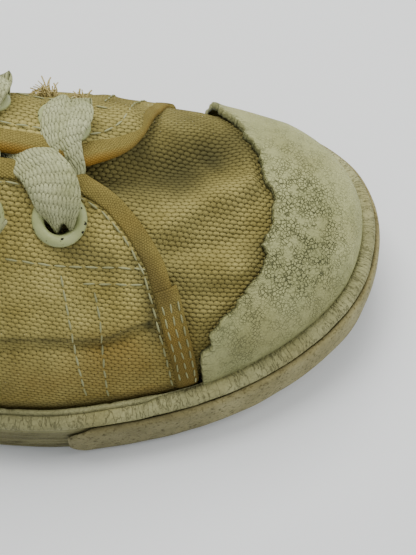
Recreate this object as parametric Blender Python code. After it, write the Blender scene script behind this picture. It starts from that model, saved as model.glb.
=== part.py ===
"""A child's worn canvas lace-up shoe for the right foot, standing on its sole.

Frame: +X runs from heel to toe, +Z is up and the outer side of the foot is at -Y.
The origin is on the floor, at the middle of the shoe's length. Sizes are in metres.
Tables of sections hold shares of the named sizes that they follow.
"""
import math

import bmesh
import bpy
import numpy as np
from mathutils import Vector

# Sizes of the sole
LENGTH = 0.1987            # heel to toe over the side band
BALL_WIDTH = 0.0726        # over the side band at the ball of the foot
TOE_SPRING = 0.007         # lift of the sole at the tip of the toe
SPRING_START = 0.72        # share of the length where the lift starts
OUTSOLE_TOP = 0.0055
LUG_HEIGHT = 0.0013
LUG_LENGTH = 0.0042
LUG_PITCH = 0.0074
LUG_DRAFT = 0.0004
TIP_STATIONS = (0.0003, 0.0010, 0.0024, 0.0045)   # sections close to heel and toe ends
REST_PAD_LENGTH = 0.018    # plain flat bands of the tread, under heel and ball
HEEL_PAD_AT = 0.13         # share of the length at the middle of each flat band
BALL_PAD_AT = 0.665
BAND_HEIGHT = 0.0147       # side band, floor to lip
BAND_DEPTH = 0.0036
BAND_FLOOR_GAP = 0.0003
LIP_HEIGHT = 0.0011        # thin top strip of the side band, worn away round the toe
LIP_END = (0.765, 0.795)   # shares of the length over which the lip runs out
BUMPER_THICK = 0.0015
BUMPER_RECESS = 0.0005     # how far the side band is sunk behind the bumper
BUMPER_TOP = 0.0116
BUMPER_BASE = 0.0006
BUMPER_START = 0.688       # share of the length where its two ends lie
BUMPER_TAPER = 0.030       # share of the length over which each end thickens
RECESS_RUN = (BUMPER_START + 0.012, BUMPER_START + 0.030)
INSOLE_THICK = 0.0030

# Sizes of the upper
HEEL_CURVE_END = 0.55      # share of the rise to the crown line where the swell ends
HEEL_CURVE_RUN = (0.02, 0.16)   # shares of the length over which it fades forward
INSTEP_HEIGHT = 0.0655     # floor to crown at the top eyelets
HEEL_HEIGHT = 0.0520       # floor to collar at the back
HEEL_CURVE = 0.0016        # how far the back swells behind the collar and the sole
UPPER_INSET = 0.0050       # from the side band's widest line to the vamp, at the band
UPPER_WALL = 0.0015
QUARTER_STEP = 0.0008      # the quarters lie over the vamp
BINDING_STEP = 0.0006      # the binding and seam tape lie over the quarters
BINDING_WIDTH = 0.0034
BINDING_OVERHANG = 0.0002  # binding past the raw edge that it covers
FACING_WIDTH = 0.0015      # binding left free beside the eyelets
SEAM_SHIFT = 0.0042        # the same binding measured along the shoe
CAP_THICK = 0.0012
TONGUE_THICK = 0.0016
THROAT_FRONT = 0.705       # share of the length at the front of the opening
THROAT_HALF_FRONT = 0.0016
THROAT_HALF_TOP = 0.0070
FACING_TOP = 0.445         # share of the length at the top of the facings

# Sizes of the fittings
EYELET_PAIRS = 4
EYELET_FIRST = 0.689       # share of the length at the foremost pair
EYELET_TOP_MARGIN = 0.0065 # facing's top to the centre of the last eyelet
EYELET_INSET = 0.0070      # throat edge to eyelet centre
EYELET_OUTER = 0.0100
EYELET_HOLE = 0.0056
EYELET_FLANGE = 0.0007
EYELET_TUBE = 0.0005
LACE_WIDTH = 0.0096
LACE_THICK = 0.0014
LACE_RISE = 0.0026         # vamp surface to the underside of a lace

GAP = 0.0003               # between pieces that touch on the real shoe
STATIONS = 36              # sections from heel to toe on each side
ROWS = 9                   # rows from the band up to the crown

# Outline of the side band: share of length, outer and inner side as shares of BALL_WIDTH
OUTLINE = (
    (0.000, 0.000, 0.000),
    (0.010, -0.139, 0.139),
    (0.035, -0.248, 0.244),
    (0.080, -0.332, 0.325),
    (0.150, -0.373, 0.364),
    (0.250, -0.380, 0.348),
    (0.350, -0.388, 0.321),
    (0.450, -0.417, 0.322),
    (0.550, -0.467, 0.390),
    (0.620, -0.496, 0.461),
    (0.680, -0.501, 0.494),
    (0.740, -0.480, 0.500),
    (0.800, -0.445, 0.493),
    (0.860, -0.390, 0.466),
    (0.910, -0.318, 0.419),
    (0.950, -0.236, 0.350),
    (0.980, -0.137, 0.259),
    (0.993, -0.056, 0.186),
    (1.000, 0.070, 0.070),
)

# Sections of the last: share of length, crown height as a share of INSTEP_HEIGHT,
# crown's offset as a share of BALL_WIDTH, fullness of the outer and of the inner side
SECTIONS = (
    (0.000, 1.235, 0.000, 2.80, 2.80),
    (0.171, 1.225, 0.000, 2.70, 2.70),
    (0.302, 1.130, -0.007, 2.30, 2.30),
    (0.428, 1.031, -0.007, 1.85, 1.95),
    (0.503, 0.962, 0.000, 1.65, 1.90),
    (0.579, 0.887, 0.007, 1.52, 1.92),
    (0.654, 0.803, 0.014, 1.50, 1.95),
    (0.720, 0.716, 0.022, 1.55, 1.98),
    (0.780, 0.622, 0.038, 1.80, 2.05),
    (0.830, 0.560, 0.052, 2.00, 2.15),
    (0.886, 0.511, 0.062, 2.20, 2.40),
    (0.906, 0.495, 0.064, 2.25, 2.50),
    (1.000, 0.470, 0.064, 2.30, 2.50),
)
HEEL_POLE = 0.171          # shares of the length at the two ends of the crown line
TOE_POLE = 0.906
TOE_SLOPE = -0.30          # fall of the crown line where it ends

# Collar seen from the side: share of length, height as a share of HEEL_HEIGHT
COLLAR = (
    (-0.020, 1.020),
    (0.030, 1.000),
    (0.090, 0.945),
    (0.170, 0.872),
    (0.250, 0.830),
    (0.310, 0.835),
    (0.360, 0.895),
    (0.400, 1.000),
    (0.425, 1.120),
    (0.440, 1.280),
    (0.447, 1.480),
    (0.450, 2.200),
)

# Front edge of each quarter seen from above: place at the throat and at the side band
# as shares of length, how far out the edge runs as a share of BALL_WIDTH, and its bend
QUARTER_EDGE = {
    "outer": (0.702, 0.812, 0.40, 1.75),
    "inner": (0.704, 0.806, 0.44, 1.75),
}

# Torn back edge of the toe cap: share of BALL_WIDTH across, share of length
TEAR = (
    (0.490, 0.806),
    (0.440, 0.815),
    (0.400, 0.831),
    (0.340, 0.838),
    (0.290, 0.858),
    (0.230, 0.866),
    (0.175, 0.877),
    (0.105, 0.879),
    (0.045, 0.890),
    (-0.035, 0.888),
    (-0.090, 0.880),
    (-0.150, 0.878),
    (-0.205, 0.862),
    (-0.240, 0.853),
    (-0.270, 0.836),
    (-0.300, 0.828),
    (-0.315, 0.830),
    (-0.335, 0.819),
    (-0.355, 0.822),
    (-0.400, 0.815),
    (-0.480, 0.812),
)

# Section of the side band: share of BAND_DEPTH inward, share of the height
BAND_SECTION = (
    (0.14, 0.00),
    (0.00, 0.12),
    (0.00, 0.48),
    (0.07, 0.51),
    (0.05, 0.60),
    (0.12, 0.63),
    (0.16, 0.86),
    (0.30, 0.88),
    (0.74, 0.925),
)

# Section of the bumper: share of BUMPER_THICK outward, share of its height
BUMPER_SECTION = (
    (0.00, 0.00),
    (0.72, 0.00),
    (1.00, 0.16),
    (0.96, 0.70),
    (0.62, 0.95),
    (0.00, 1.00),
)

# Tongue seen from above: share of length, share of BALL_WIDTH to each side
TONGUE = (
    (0.755, 0.07),
    (0.740, 0.12),
    (0.680, 0.19),
    (0.560, 0.23),
    (0.430, 0.25),
    (0.395, 0.22),
    (0.378, 0.14),
)

TOTAL_LENGTH = LENGTH + BUMPER_THICK - BUMPER_RECESS + GAP
HEEL_X = -TOTAL_LENGTH / 2
TOE_X = HEEL_X + LENGTH


def along(share):
    """Place on X of a share of the length."""
    return HEEL_X + LENGTH * np.asarray(share, dtype=float)


def share_at(x):
    return (np.asarray(x, dtype=float) - HEEL_X) / LENGTH


def curve(xs, ys, x):
    """A smooth curve through the points of a table's two columns."""
    xs, ys = np.asarray(xs, dtype=float), np.asarray(ys, dtype=float)
    slope = np.gradient(ys, xs)
    i = np.clip(np.searchsorted(xs, x) - 1, 0, len(xs) - 2)
    span = xs[i + 1] - xs[i]
    t = np.clip((x - xs[i]) / span, 0, 1)
    start = (2 * t**3 - 3 * t**2 + 1) * ys[i] + (t**3 - 2 * t**2 + t) * span * slope[i]
    end = (3 * t**2 - 2 * t**3) * ys[i + 1] + (t**3 - t**2) * span * slope[i + 1]
    return start + end


def column(table, k):
    return [row[k] for row in table]


def ramp(low, high, x):
    t = np.clip((np.asarray(x, dtype=float) - low) / (high - low), 0, 1)
    return t * t * (3 - 2 * t)


def turn_of(share):
    """Angle of a place on the outline: 0 at the heel's back, pi at the tip of the toe."""
    return np.arccos(np.clip(1 - 2 * np.asarray(share, dtype=float), -1, 1))


def share_of(turn):
    return (1 - np.cos(turn)) / 2


def lift(share):
    """Height of the sole's underside over the floor."""
    t = np.clip((share - SPRING_START) / (1 - SPRING_START), 0, 1)
    return TOE_SPRING * t**2


def outline(turn):
    """Widest line of the side band. The turn runs by the outer side to pi, and back."""
    turn = np.asarray(turn, dtype=float) % (2 * math.pi)
    folded = np.where(turn > math.pi, 2 * math.pi - turn, turn)
    table_turns = turn_of(column(OUTLINE, 0))
    outer = curve(table_turns, column(OUTLINE, 1), folded)
    inner = curve(table_turns, column(OUTLINE, 2), folded)
    y = np.where(turn > math.pi, inner, outer) * BALL_WIDTH
    return np.stack([along(share_of(turn)), y], -1)


def rim(turn, inset):
    """The outline moved inward by inset."""
    step = 0.01
    ahead = outline(turn + step) - outline(turn - step)
    ahead /= np.linalg.norm(ahead, axis=-1, keepdims=True)
    inward = np.stack([-ahead[..., 1], ahead[..., 0]], -1)
    return outline(turn) + inward * np.asarray(inset)[..., None]


def rim_ring(turn, inset, height):
    """A ring of points on the rim, at a height over the sole's underside."""
    flat = rim(turn, np.broadcast_to(inset, turn.shape))
    z = height + lift(np.clip(share_at(flat[:, 0]), 0, 1))
    return np.column_stack([flat, np.broadcast_to(z, turn.shape)])


TURNS = np.arange(2 * STATIONS) * math.pi / STATIONS


def last_rows():
    """Points of the vamp's surface: rows from the band to the crown, all round."""
    share = share_of(TURNS)
    foot = rim_ring(TURNS, UPPER_INSET, BAND_HEIGHT)
    table = column(SECTIONS, 0)
    pole = np.clip(share, HEEL_POLE, TOE_POLE)
    crown_x = along(pole)
    crown_y = curve(table, column(SECTIONS, 2), pole) * BALL_WIDTH
    crown_z = curve(table, column(SECTIONS, 1), pole) * INSTEP_HEIGHT
    side = np.where(TURNS > math.pi, 4, 3)
    full = np.where(side == 3, curve(table, column(SECTIONS, 3), share),
                    curve(table, column(SECTIONS, 4), share))
    ends = (TURNS == 0) | (np.arange(len(TURNS)) == STATIONS)
    mean = curve(table, (np.array(column(SECTIONS, 3)) + column(SECTIONS, 4)) / 2, share)
    full = np.where(ends, mean, full)
    rows = []
    for k in range(ROWS + 1):
        angle = math.pi / 2 * (1 - k / ROWS)
        out = math.sin(angle) ** (2 / full)
        up = math.cos(angle) ** (2 / full) if k else np.zeros_like(full)
        x = crown_x + (foot[:, 0] - crown_x) * out
        y = crown_y + (foot[:, 1] - crown_y) * out
        bulge = np.sin(math.pi * np.clip(up / HEEL_CURVE_END, 0, 1))
        x = x - HEEL_CURVE * bulge * (1 - ramp(*HEEL_CURVE_RUN, share))
        fall = TOE_SLOPE * np.maximum(x - crown_x, 0) * up
        z = foot[:, 2] + (crown_z - foot[:, 2]) * up + fall
        rows.append(np.stack([x, y, z], -1))
    return np.array(rows)


def row_normals(rows):
    """Outward normals of the vamp's surface; the two sides share them on the crown."""
    round_way = np.roll(rows, -1, 1) - np.roll(rows, 1, 1)
    up_way = np.gradient(rows, axis=0)
    normal = np.cross(round_way, up_way)
    size = np.linalg.norm(normal, axis=-1, keepdims=True)
    normal = normal / np.maximum(size, 1e-12)
    crown = rows[-1]
    for i in range(2 * STATIONS):
        here = np.linalg.norm(crown - crown[i], axis=1) < 1e-7
        normal[-1, i] = normal[-2, here].mean(0)
    normal[-1] /= np.linalg.norm(normal[-1], axis=-1, keepdims=True)
    return normal


ROW_POINTS = last_rows()
ROW_NORMALS = row_normals(ROW_POINTS)


def on_last(x, y):
    """Point of the vamp's surface below a place seen from above, between the crown's ends."""
    share = np.clip(share_at(x), HEEL_POLE, TOE_POLE)
    table = column(SECTIONS, 0)
    crown_y = curve(table, column(SECTIONS, 2), share) * BALL_WIDTH
    crown_z = curve(table, column(SECTIONS, 1), share) * INSTEP_HEIGHT
    outer = y < crown_y
    full = curve(table, column(SECTIONS, 3 if outer else 4), share)
    edge = edge_at(x, UPPER_INSET, outer)
    out = min(abs((y - crown_y) / (edge - crown_y)), 0.999)
    foot = BAND_HEIGHT + lift(share)
    z = foot + (crown_z - foot) * (1 - out**full) ** (1 / full)
    return Vector((float(x), float(y), float(z)))


def last_frame(x, y, rise):
    """Point at a rise over the vamp's surface, with the surface's normal."""
    step = 0.0004
    slope_x = on_last(x + step, y) - on_last(x - step, y)
    slope_y = on_last(x, y + step) - on_last(x, y - step)
    normal = slope_x.cross(slope_y).normalized()
    return on_last(x, y) + normal * rise, normal


def edge_at(x, inset, outer):
    """Y of the inset outline at a place along the shoe."""
    turns = np.linspace(0, math.pi, 241)
    if not outer:
        turns = 2 * math.pi - turns
    line = rim(turns, np.full(turns.shape, inset))
    order = np.argsort(line[:, 0])
    return float(np.interp(x, line[order, 0], line[order, 1]))


# Scene and helpers

for old in list(bpy.data.objects):
    bpy.data.objects.remove(old)

SHOE = bpy.data.collections.new("worn_canvas_shoe")
CUTTERS = bpy.data.collections.new("cutters")
bpy.context.scene.collection.children.link(SHOE)
bpy.context.scene.collection.children.link(CUTTERS)


def material(name, colour, roughness, metallic=0.0):
    made = bpy.data.materials.new(name)
    made.use_nodes = True
    shader = made.node_tree.nodes["Principled BSDF"]
    shader.inputs["Base Color"].default_value = (*colour, 1.0)
    shader.inputs["Roughness"].default_value = roughness
    shader.inputs["Metallic"].default_value = metallic
    return made


CANVAS = material("olive_canvas", (0.262, 0.224, 0.112), 0.95)
RUBBER = material("grey_green_rubber", (0.386, 0.386, 0.300), 0.75)
DARK_RUBBER = material("tread_rubber", (0.270, 0.240, 0.165), 0.80)
LINING = material("insole_cloth", (0.330, 0.290, 0.190), 0.95)
PAINTED = material("painted_eyelet", (0.480, 0.470, 0.350), 0.45)
COTTON = material("lace_cotton", (0.450, 0.460, 0.340), 0.95)


def finished(bm, name, look=None):
    """Make the object of a closed bmesh, its faces turned outward. Without a look it cuts."""
    bmesh.ops.remove_doubles(bm, verts=bm.verts, dist=1e-6)
    bmesh.ops.dissolve_degenerate(bm, edges=bm.edges, dist=1e-7)
    bmesh.ops.recalc_face_normals(bm, faces=bm.faces)
    mesh = bpy.data.meshes.new(name)
    bm.to_mesh(mesh)
    bm.free()
    made = bpy.data.objects.new(name, mesh)
    if look is None:
        CUTTERS.objects.link(made)
        made.hide_render = True
        made.display_type = "WIRE"
    else:
        SHOE.objects.link(made)
        mesh.materials.append(look)
        mesh.shade_smooth()
        mesh.set_sharp_from_angle(angle=math.radians(35))
    return made


def fill_across(bm, ring):
    """Close a ring that runs round the shoe with strips from one side to the other."""
    count = len(ring)
    for i in range(count // 2):
        across = (ring[i], ring[i + 1], ring[(count - i - 1) % count], ring[(count - i) % count])
        bm.faces.new(list(dict.fromkeys(across)))


def loft(rings, ends="flat"):
    """Skin rings of points. The ends are flat, filled across, joined up, or a crown line."""
    bm = bmesh.new()
    grid = [[bm.verts.new(point) for point in ring] for ring in rings]
    bands = list(zip(grid, grid[1:]))
    if ends == "joined":
        bands.append((grid[-1], grid[0]))
    count = len(grid[0])
    for low, high in bands:
        for i in range(count):
            j = (i + 1) % count
            bm.faces.new((low[i], low[j], high[j], high[i]))
    if ends == "flat":
        bm.faces.new(grid[0])
        bm.faces.new(grid[-1])
    if ends in ("across", "crown"):
        fill_across(bm, grid[0])
    if ends == "across":
        fill_across(bm, grid[-1])
    return bm


def prism(points, low, high, axis, name):
    """A cutter: an outline in the plane across an axis, pushed along that axis."""
    bm = bmesh.new()

    def place(a, b, c):
        return (a, b, c) if axis == "z" else (a, c, b)

    verts = [bm.verts.new(place(a, b, low)) for a, b in points]
    face = bm.faces.new(verts)
    pushed = bmesh.ops.extrude_face_region(bm, geom=[face])
    moved = [g for g in pushed["geom"] if isinstance(g, bmesh.types.BMVert)]
    bmesh.ops.translate(bm, vec=Vector(place(0, 0, high - low)), verts=moved)
    return finished(bm, name)


def cut(target, other, operation="DIFFERENCE", solver="EXACT"):
    step = target.modifiers.new(other.name, "BOOLEAN")
    step.operation = operation
    step.solver = solver
    step.object = other


# Forms of the upper

SKIRT_BASE = OUTSOLE_TOP + GAP
SKIRT_TOP = BAND_HEIGHT - 0.0017
SKIRT_STEP = 0.0003
SKIRT_INSET = BAND_DEPTH + GAP
FORM_MARGIN = 0.001        # a cutting form starts this much below what it cuts
CLEAR = 0.02               # how far a cutter runs past the shoe
TALL = 2.4 * INSTEP_HEIGHT
WIDE = BALL_WIDTH / 2 + 2 * CLEAR


def last_form(rise, name, rings_below, look=None):
    """A closed form over the last: rings below the band's lip, then the raised rows."""
    rings = [rim_ring(TURNS, inset, height) for inset, height in rings_below]
    rings += list(ROW_POINTS + ROW_NORMALS * rise)
    return finished(loft(rings, ends="crown"), name, look)


def quarter_edge_x(side, y, shift=0.0):
    throat, band, reach, bend = QUARTER_EDGE[side]
    out = min(abs(y) / (reach * BALL_WIDTH), 1.0)
    share = throat + (band - throat) * (1 - (1 - out) ** bend)
    return float(along(share)) - shift


def throat_half(x):
    """Half the width of the opening between the facings."""
    front, top = along(THROAT_FRONT), along(FACING_TOP)
    t = (front - x) / (front - top)
    return THROAT_HALF_FRONT + (THROAT_HALF_TOP - THROAT_HALF_FRONT) * min(max(t, 0.0), 1.2)


def quarter_outline(shift=0.0):
    """Both quarters seen from above, back from their front edges."""
    steps = np.linspace(0, 1, 9) ** 1.4
    reach = WIDE
    points = [(HEEL_X - CLEAR, -reach), (quarter_edge_x("outer", -reach, shift), -reach)]
    outer_reach = QUARTER_EDGE["outer"][2] * BALL_WIDTH
    inner_reach = QUARTER_EDGE["inner"][2] * BALL_WIDTH
    points += [(quarter_edge_x("outer", -outer_reach * t, shift), -outer_reach * t) for t in steps[::-1]]
    points += [(quarter_edge_x("inner", inner_reach * t, shift), inner_reach * t) for t in steps[1:]]
    points += [(quarter_edge_x("inner", reach, shift), reach), (HEEL_X - CLEAR, reach)]
    return points


def collar_points(drop=0.0):
    """Collar line seen from the side, or a line lying below it by drop."""
    table_x = along(column(COLLAR, 0))
    table_z = np.array(column(COLLAR, 1)) * HEEL_HEIGHT
    ahead = np.gradient(np.column_stack([table_x, table_z]), axis=0)
    ahead /= np.linalg.norm(ahead, axis=1, keepdims=True)
    below = np.column_stack([ahead[:, 1], -ahead[:, 0]])
    return np.column_stack([table_x, table_z]) + below * drop


def make_upper():
    """One hollow wall: vamp, with the quarters and their binding as steps in it."""
    skirt = [(SKIRT_INSET, SKIRT_BASE), (SKIRT_INSET, SKIRT_TOP)]
    upper = last_form(0.0, "upper", skirt + [(UPPER_INSET, SKIRT_TOP + SKIRT_STEP)], CANVAS)

    form_base = SKIRT_TOP - FORM_MARGIN
    low = [(UPPER_INSET - QUARTER_STEP, form_base)]
    quarters = last_form(QUARTER_STEP, "quarter_form", low)
    quarter_base = BAND_HEIGHT - QUARTER_STEP
    cut(quarters, prism(quarter_outline(), quarter_base, TALL, "z", "quarter_cutter"), "INTERSECT")

    binding_rise = QUARTER_STEP + BINDING_STEP
    low = [(UPPER_INSET - binding_rise, form_base)]
    binding_base = BAND_HEIGHT + BINDING_STEP
    seam = last_form(binding_rise, "binding_form", low)
    front = quarter_outline(-BINDING_OVERHANG)
    cut(seam, prism(front, binding_base, TALL, "z", "binding_cutter"), "INTERSECT")
    inside = quarter_outline(SEAM_SHIFT)
    for side in (-1, 1):
        cut(seam, prism(plain_quarter(inside, side), 0.0, TALL, "z", "binding_inside_%d" % (side + 2)))

    cuff = last_form(binding_rise + BINDING_OVERHANG, "cuff_form", low)
    ring = np.vstack([collar_points(-BINDING_WIDTH), collar_points(BINDING_WIDTH)[::-1]])
    cut(cuff, prism(ring, -WIDE, WIDE, "y", "cuff_cutter"), "INTERSECT")

    inner = last_form(-UPPER_WALL, "foot_space", [
        (SKIRT_INSET + UPPER_WALL, SKIRT_BASE - 2 * FORM_MARGIN),
        (SKIRT_INSET + UPPER_WALL, SKIRT_TOP - SKIRT_STEP),
        (UPPER_INSET + UPPER_WALL, SKIRT_TOP + SKIRT_STEP)])

    collar = list(map(tuple, collar_points())) + [(HEEL_X - CLEAR, COLLAR[-1][1] * HEEL_HEIGHT)]
    collar_cutter = prism(collar, -WIDE, WIDE, "y", "collar_cutter")
    throat_cutter = prism(throat_outline(), INSTEP_HEIGHT / 2, TALL, "z", "throat_cutter")

    cut(upper, quarters, "UNION")
    cut(upper, seam, "UNION")
    cut(upper, cuff, "UNION")
    cut(upper, throat_cutter, solver="MANIFOLD")
    cut(upper, inner)
    cut(upper, collar_cutter)
    cut(upper, eyelet_holes())
    return upper


def plain_quarter(points, side):
    """The part of one quarter that its binding leaves free, seen from above."""
    front = [p for p in points if p[1] * side > 0 and p[0] > HEEL_X]
    near = [p for p in front if abs(p[1]) > throat_half(p[0]) + FACING_WIDTH]
    near.sort(key=lambda p: abs(p[1]))
    back = HEEL_X - CLEAR
    overlap = -side * GAP
    borders = [(back, overlap), (float(along(FACING_TOP - 0.16)), overlap)]
    for share in np.linspace(FACING_TOP - 0.15, THROAT_FRONT - 0.04, 5):
        x = float(along(share))
        borders.append((x, side * (throat_half(x) + FACING_WIDTH)))
    ring = borders + [p for p in near if p[0] > borders[-1][0] or abs(p[1]) > abs(borders[-1][1])]
    return ring + [(back, side * WIDE)]


def throat_outline():
    """The opening between the facings, seen from above, round at its front."""
    shares = np.linspace(FACING_TOP - 0.06, THROAT_FRONT, 7)
    outer = [(float(along(s)), -throat_half(float(along(s)))) for s in shares]
    blunt = THROAT_HALF_FRONT / 3
    end = float(along(THROAT_FRONT)) + THROAT_HALF_FRONT
    tip = [(end, -blunt), (end, blunt)]
    inner = [(x, -y) for x, y in outer[::-1]]
    return outer + tip + inner


EYELET_PITCH = float(along(EYELET_FIRST) - along(FACING_TOP) - EYELET_TOP_MARGIN) / (EYELET_PAIRS - 1)


def eyelet_places():
    """Place of each eyelet seen from above: number, side, x, y."""
    places = []
    for k in range(EYELET_PAIRS):
        x = float(along(EYELET_FIRST)) - k * EYELET_PITCH
        for side in (-1, 1):
            places.append((k + 1, side, x, side * (throat_half(x) + EYELET_INSET)))
    return places


def eyelet_holes():
    """One cutter with a pin through the wall at each eyelet."""
    bm = bmesh.new()
    for number, side, x, y in eyelet_places():
        middle, normal = last_frame(x, y, -UPPER_WALL / 2)
        made = bmesh.ops.create_cone(
            bm, cap_ends=True, segments=12, depth=5 * UPPER_WALL,
            radius1=EYELET_HOLE / 2 + EYELET_TUBE + GAP, radius2=EYELET_HOLE / 2 + EYELET_TUBE + GAP)
        turn = Vector((0, 0, 1)).rotation_difference(normal)
        bmesh.ops.rotate(bm, verts=made["verts"], cent=(0, 0, 0), matrix=turn.to_matrix())
        bmesh.ops.translate(bm, verts=made["verts"], vec=middle)
    return finished(bm, "eyelet_hole_pins")


def make_tongue():
    """A curved sheet under the facings, cut between two forms of the last."""
    sink = UPPER_WALL + GAP
    tongue = last_form(-sink, "tongue", [(UPPER_INSET + sink, SKIRT_TOP)], CANVAS)
    deeper = sink + TONGUE_THICK
    under = last_form(-deeper, "tongue_under_form", [(UPPER_INSET + deeper, SKIRT_BASE)])
    table = [(float(along(s)), w * BALL_WIDTH) for s, w in TONGUE]
    plan = [(x, -w) for x, w in table] + [(x, w) for x, w in table[::-1]]
    cut(tongue, under)
    cut(tongue, prism(plan, INSTEP_HEIGHT / 3, TALL, "z", "tongue_cutter"), "INTERSECT")
    return tongue


def make_toe_cap():
    """The rubber cap over the toe, with its torn back edge."""
    base = BAND_HEIGHT - LIP_HEIGHT + GAP
    rise = GAP + CAP_THICK
    cap = last_form(rise, "toe_cap", [(UPPER_INSET - rise, base)], RUBBER)
    bed = last_form(GAP, "cap_bed_form", [(UPPER_INSET - GAP, base - FORM_MARGIN)])
    tear = [(float(along(s)), w * BALL_WIDTH) for w, s in TEAR]
    reach = TOE_X + CLEAR
    plan = [(reach, WIDE), (tear[0][0], WIDE)] + tear + [(tear[-1][0], -WIDE), (reach, -WIDE)]
    cut(cap, bed)
    cut(cap, prism(plan, 0.0, TALL, "z", "tear_cutter"), "INTERSECT")
    return cap


def make_side_band():
    """The stepped side band, all round the shoe."""
    share = share_of(TURNS)
    sunk = ramp(*RECESS_RUN, share) * BUMPER_RECESS
    lip = LIP_HEIGHT * ramp(LIP_END[0], LIP_END[1], share)
    rings = []
    for inward, up in BAND_SECTION:
        depth = inward * BAND_DEPTH + sunk * (1 if up < 0.8 else 0)
        rings.append(rim_ring(TURNS, depth, BAND_FLOOR_GAP + up * (BAND_HEIGHT - BAND_FLOOR_GAP)))
    top = BAND_HEIGHT - lip
    rings.append(rim_ring(TURNS, 0.80 * BAND_DEPTH, top - GAP))
    rings.append(rim_ring(TURNS, BAND_DEPTH, top))
    rings.append(rim_ring(TURNS, BAND_DEPTH, BAND_FLOOR_GAP))
    return finished(loft(rings, ends="joined"), "side_band", RUBBER)


def make_bumper():
    """The extra band round the toe, thinning out to round ends."""
    start = float(turn_of(BUMPER_START))
    own = TURNS[(TURNS > start + 0.12) & (TURNS < 2 * math.pi - start - 0.12)]
    lead = start + np.array([0.0, 0.006, 0.02, 0.045, 0.08])
    turns = np.concatenate([lead, own, 2 * math.pi - lead[::-1]])
    share = share_of(turns)
    grow = np.sqrt(np.clip((share - BUMPER_START + 0.0012) / BUMPER_TAPER, 0, 1))
    inner = BUMPER_RECESS - GAP
    height = BUMPER_TOP - BUMPER_BASE
    columns = []
    for outward, up in BUMPER_SECTION:
        inset = inner - outward * BUMPER_THICK * (0.35 + 0.65 * grow)
        level = BUMPER_BASE + height * (0.5 + (up - 0.5) * (0.3 + 0.7 * grow))
        inset = inset - BUMPER_RECESS * (1 - ramp(*RECESS_RUN, share))
        columns.append(rim_ring(turns, inset, level))
    rings = [[line[i] for line in columns] for i in range(len(turns))]
    return finished(loft(rings), "toe_bumper", RUBBER)


def lug_stations():
    """Places along the sole with the height of its underside there."""
    pads = [float(along(HEEL_PAD_AT)), float(along(BALL_PAD_AT))]
    stations = []
    x = HEEL_X + SKIRT_INSET + LUG_PITCH
    end = TOE_X - SKIRT_INSET - LUG_PITCH
    ribs = [(pad - REST_PAD_LENGTH / 2, pad + REST_PAD_LENGTH / 2) for pad in pads]
    while x + LUG_LENGTH < end:
        clear = all(x + LUG_PITCH < low or x > high + LUG_PITCH - LUG_LENGTH for low, high in ribs[:2])
        if clear:
            ribs.append((x, x + LUG_LENGTH))
        x += LUG_PITCH
    for low, high in sorted(ribs):
        stations += [(low - LUG_DRAFT, LUG_HEIGHT), (low, 0.0), (high, 0.0), (high + LUG_DRAFT, LUG_HEIGHT)]
    return stations


def make_outsole():
    heel, toe = HEEL_X + SKIRT_INSET, TOE_X - SKIRT_INSET
    stations = lug_stations()
    stations = [(heel + t, LUG_HEIGHT) for t in TIP_STATIONS] + stations
    stations += [(toe - t, LUG_HEIGHT) for t in TIP_STATIONS[::-1]]
    rings = []
    for x, under in stations:
        rise = float(lift(share_at(x)))
        y0, y1 = edge_at(x, SKIRT_INSET, True), edge_at(x, SKIRT_INSET, False)
        rings.append([(x, y0, under + rise), (x, y1, under + rise),
                      (x, y1, OUTSOLE_TOP + rise), (x, y0, OUTSOLE_TOP + rise)])
    return finished(loft(rings), "outsole", DARK_RUBBER)


def make_insole():
    inset = SKIRT_INSET + UPPER_WALL + GAP
    rings = [rim_ring(TURNS, inset, SKIRT_BASE), rim_ring(TURNS, inset, SKIRT_BASE + INSOLE_THICK)]
    return finished(loft(rings, ends="across"), "insole", LINING)


def eyelet_mesh():
    """A turned flange with the tube below it, on +Z."""
    outer, hole = EYELET_OUTER / 2, EYELET_HOLE / 2
    tube = hole + EYELET_TUBE
    depth = UPPER_WALL + QUARTER_STEP
    profile = [
        (hole, -depth), (tube, -depth), (tube, 0.0), (outer, 0.0),
        (outer - EYELET_FLANGE, EYELET_FLANGE), (hole + EYELET_TUBE, EYELET_FLANGE)]
    bm = bmesh.new()
    verts = [bm.verts.new((r, 0, z)) for r, z in profile]
    edges = [bm.edges.new((a, b)) for a, b in zip(verts, verts[1:] + verts[:1])]
    bmesh.ops.spin(bm, geom=verts + edges, cent=(0, 0, 0), axis=(0, 0, 1), angle=2 * math.pi,
                   steps=12, use_merge=True, use_duplicate=False)
    return bm


def make_eyelets():
    rise = QUARTER_STEP + GAP
    for number, side, x, y in eyelet_places():
        place, normal = last_frame(x, y, rise)
        name = "eyelet_%s_%d" % ("outer" if side < 0 else "inner", number)
        made = finished(eyelet_mesh(), name, PAINTED)
        made.rotation_mode = "QUATERNION"
        made.rotation_quaternion = Vector((0, 0, 1)).rotation_difference(normal)
        made.location = place


def make_lace_crossings():
    """Between two pairs of eyelets the lace bends over both facings to the middle."""
    for k in range(EYELET_PAIRS - 1):
        x = float(along(EYELET_FIRST)) - k * EYELET_PITCH
        half = throat_half(x) + EYELET_INSET
        rings = []
        for t in np.linspace(-1, 1, 13):
            y = half * t
            shift = 0.45 * EYELET_PITCH * (1 - t * t)
            middle, normal = last_frame(x - shift, y, LACE_RISE)
            ahead = Vector((0.9 * EYELET_PITCH * t / half, 1, 0)).normalized()
            across = ahead.cross(normal).normalized() * (LACE_WIDTH / 2)
            top = normal * LACE_THICK
            rings.append([middle - across, middle + across, middle + across + top, middle - across + top])
        finished(loft(rings), "lace_crossing_%d" % (k + 1), COTTON)


make_outsole()
make_side_band()
make_bumper()
make_upper()
make_toe_cap()
make_tongue()
make_insole()
make_eyelets()
make_lace_crossings()
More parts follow.
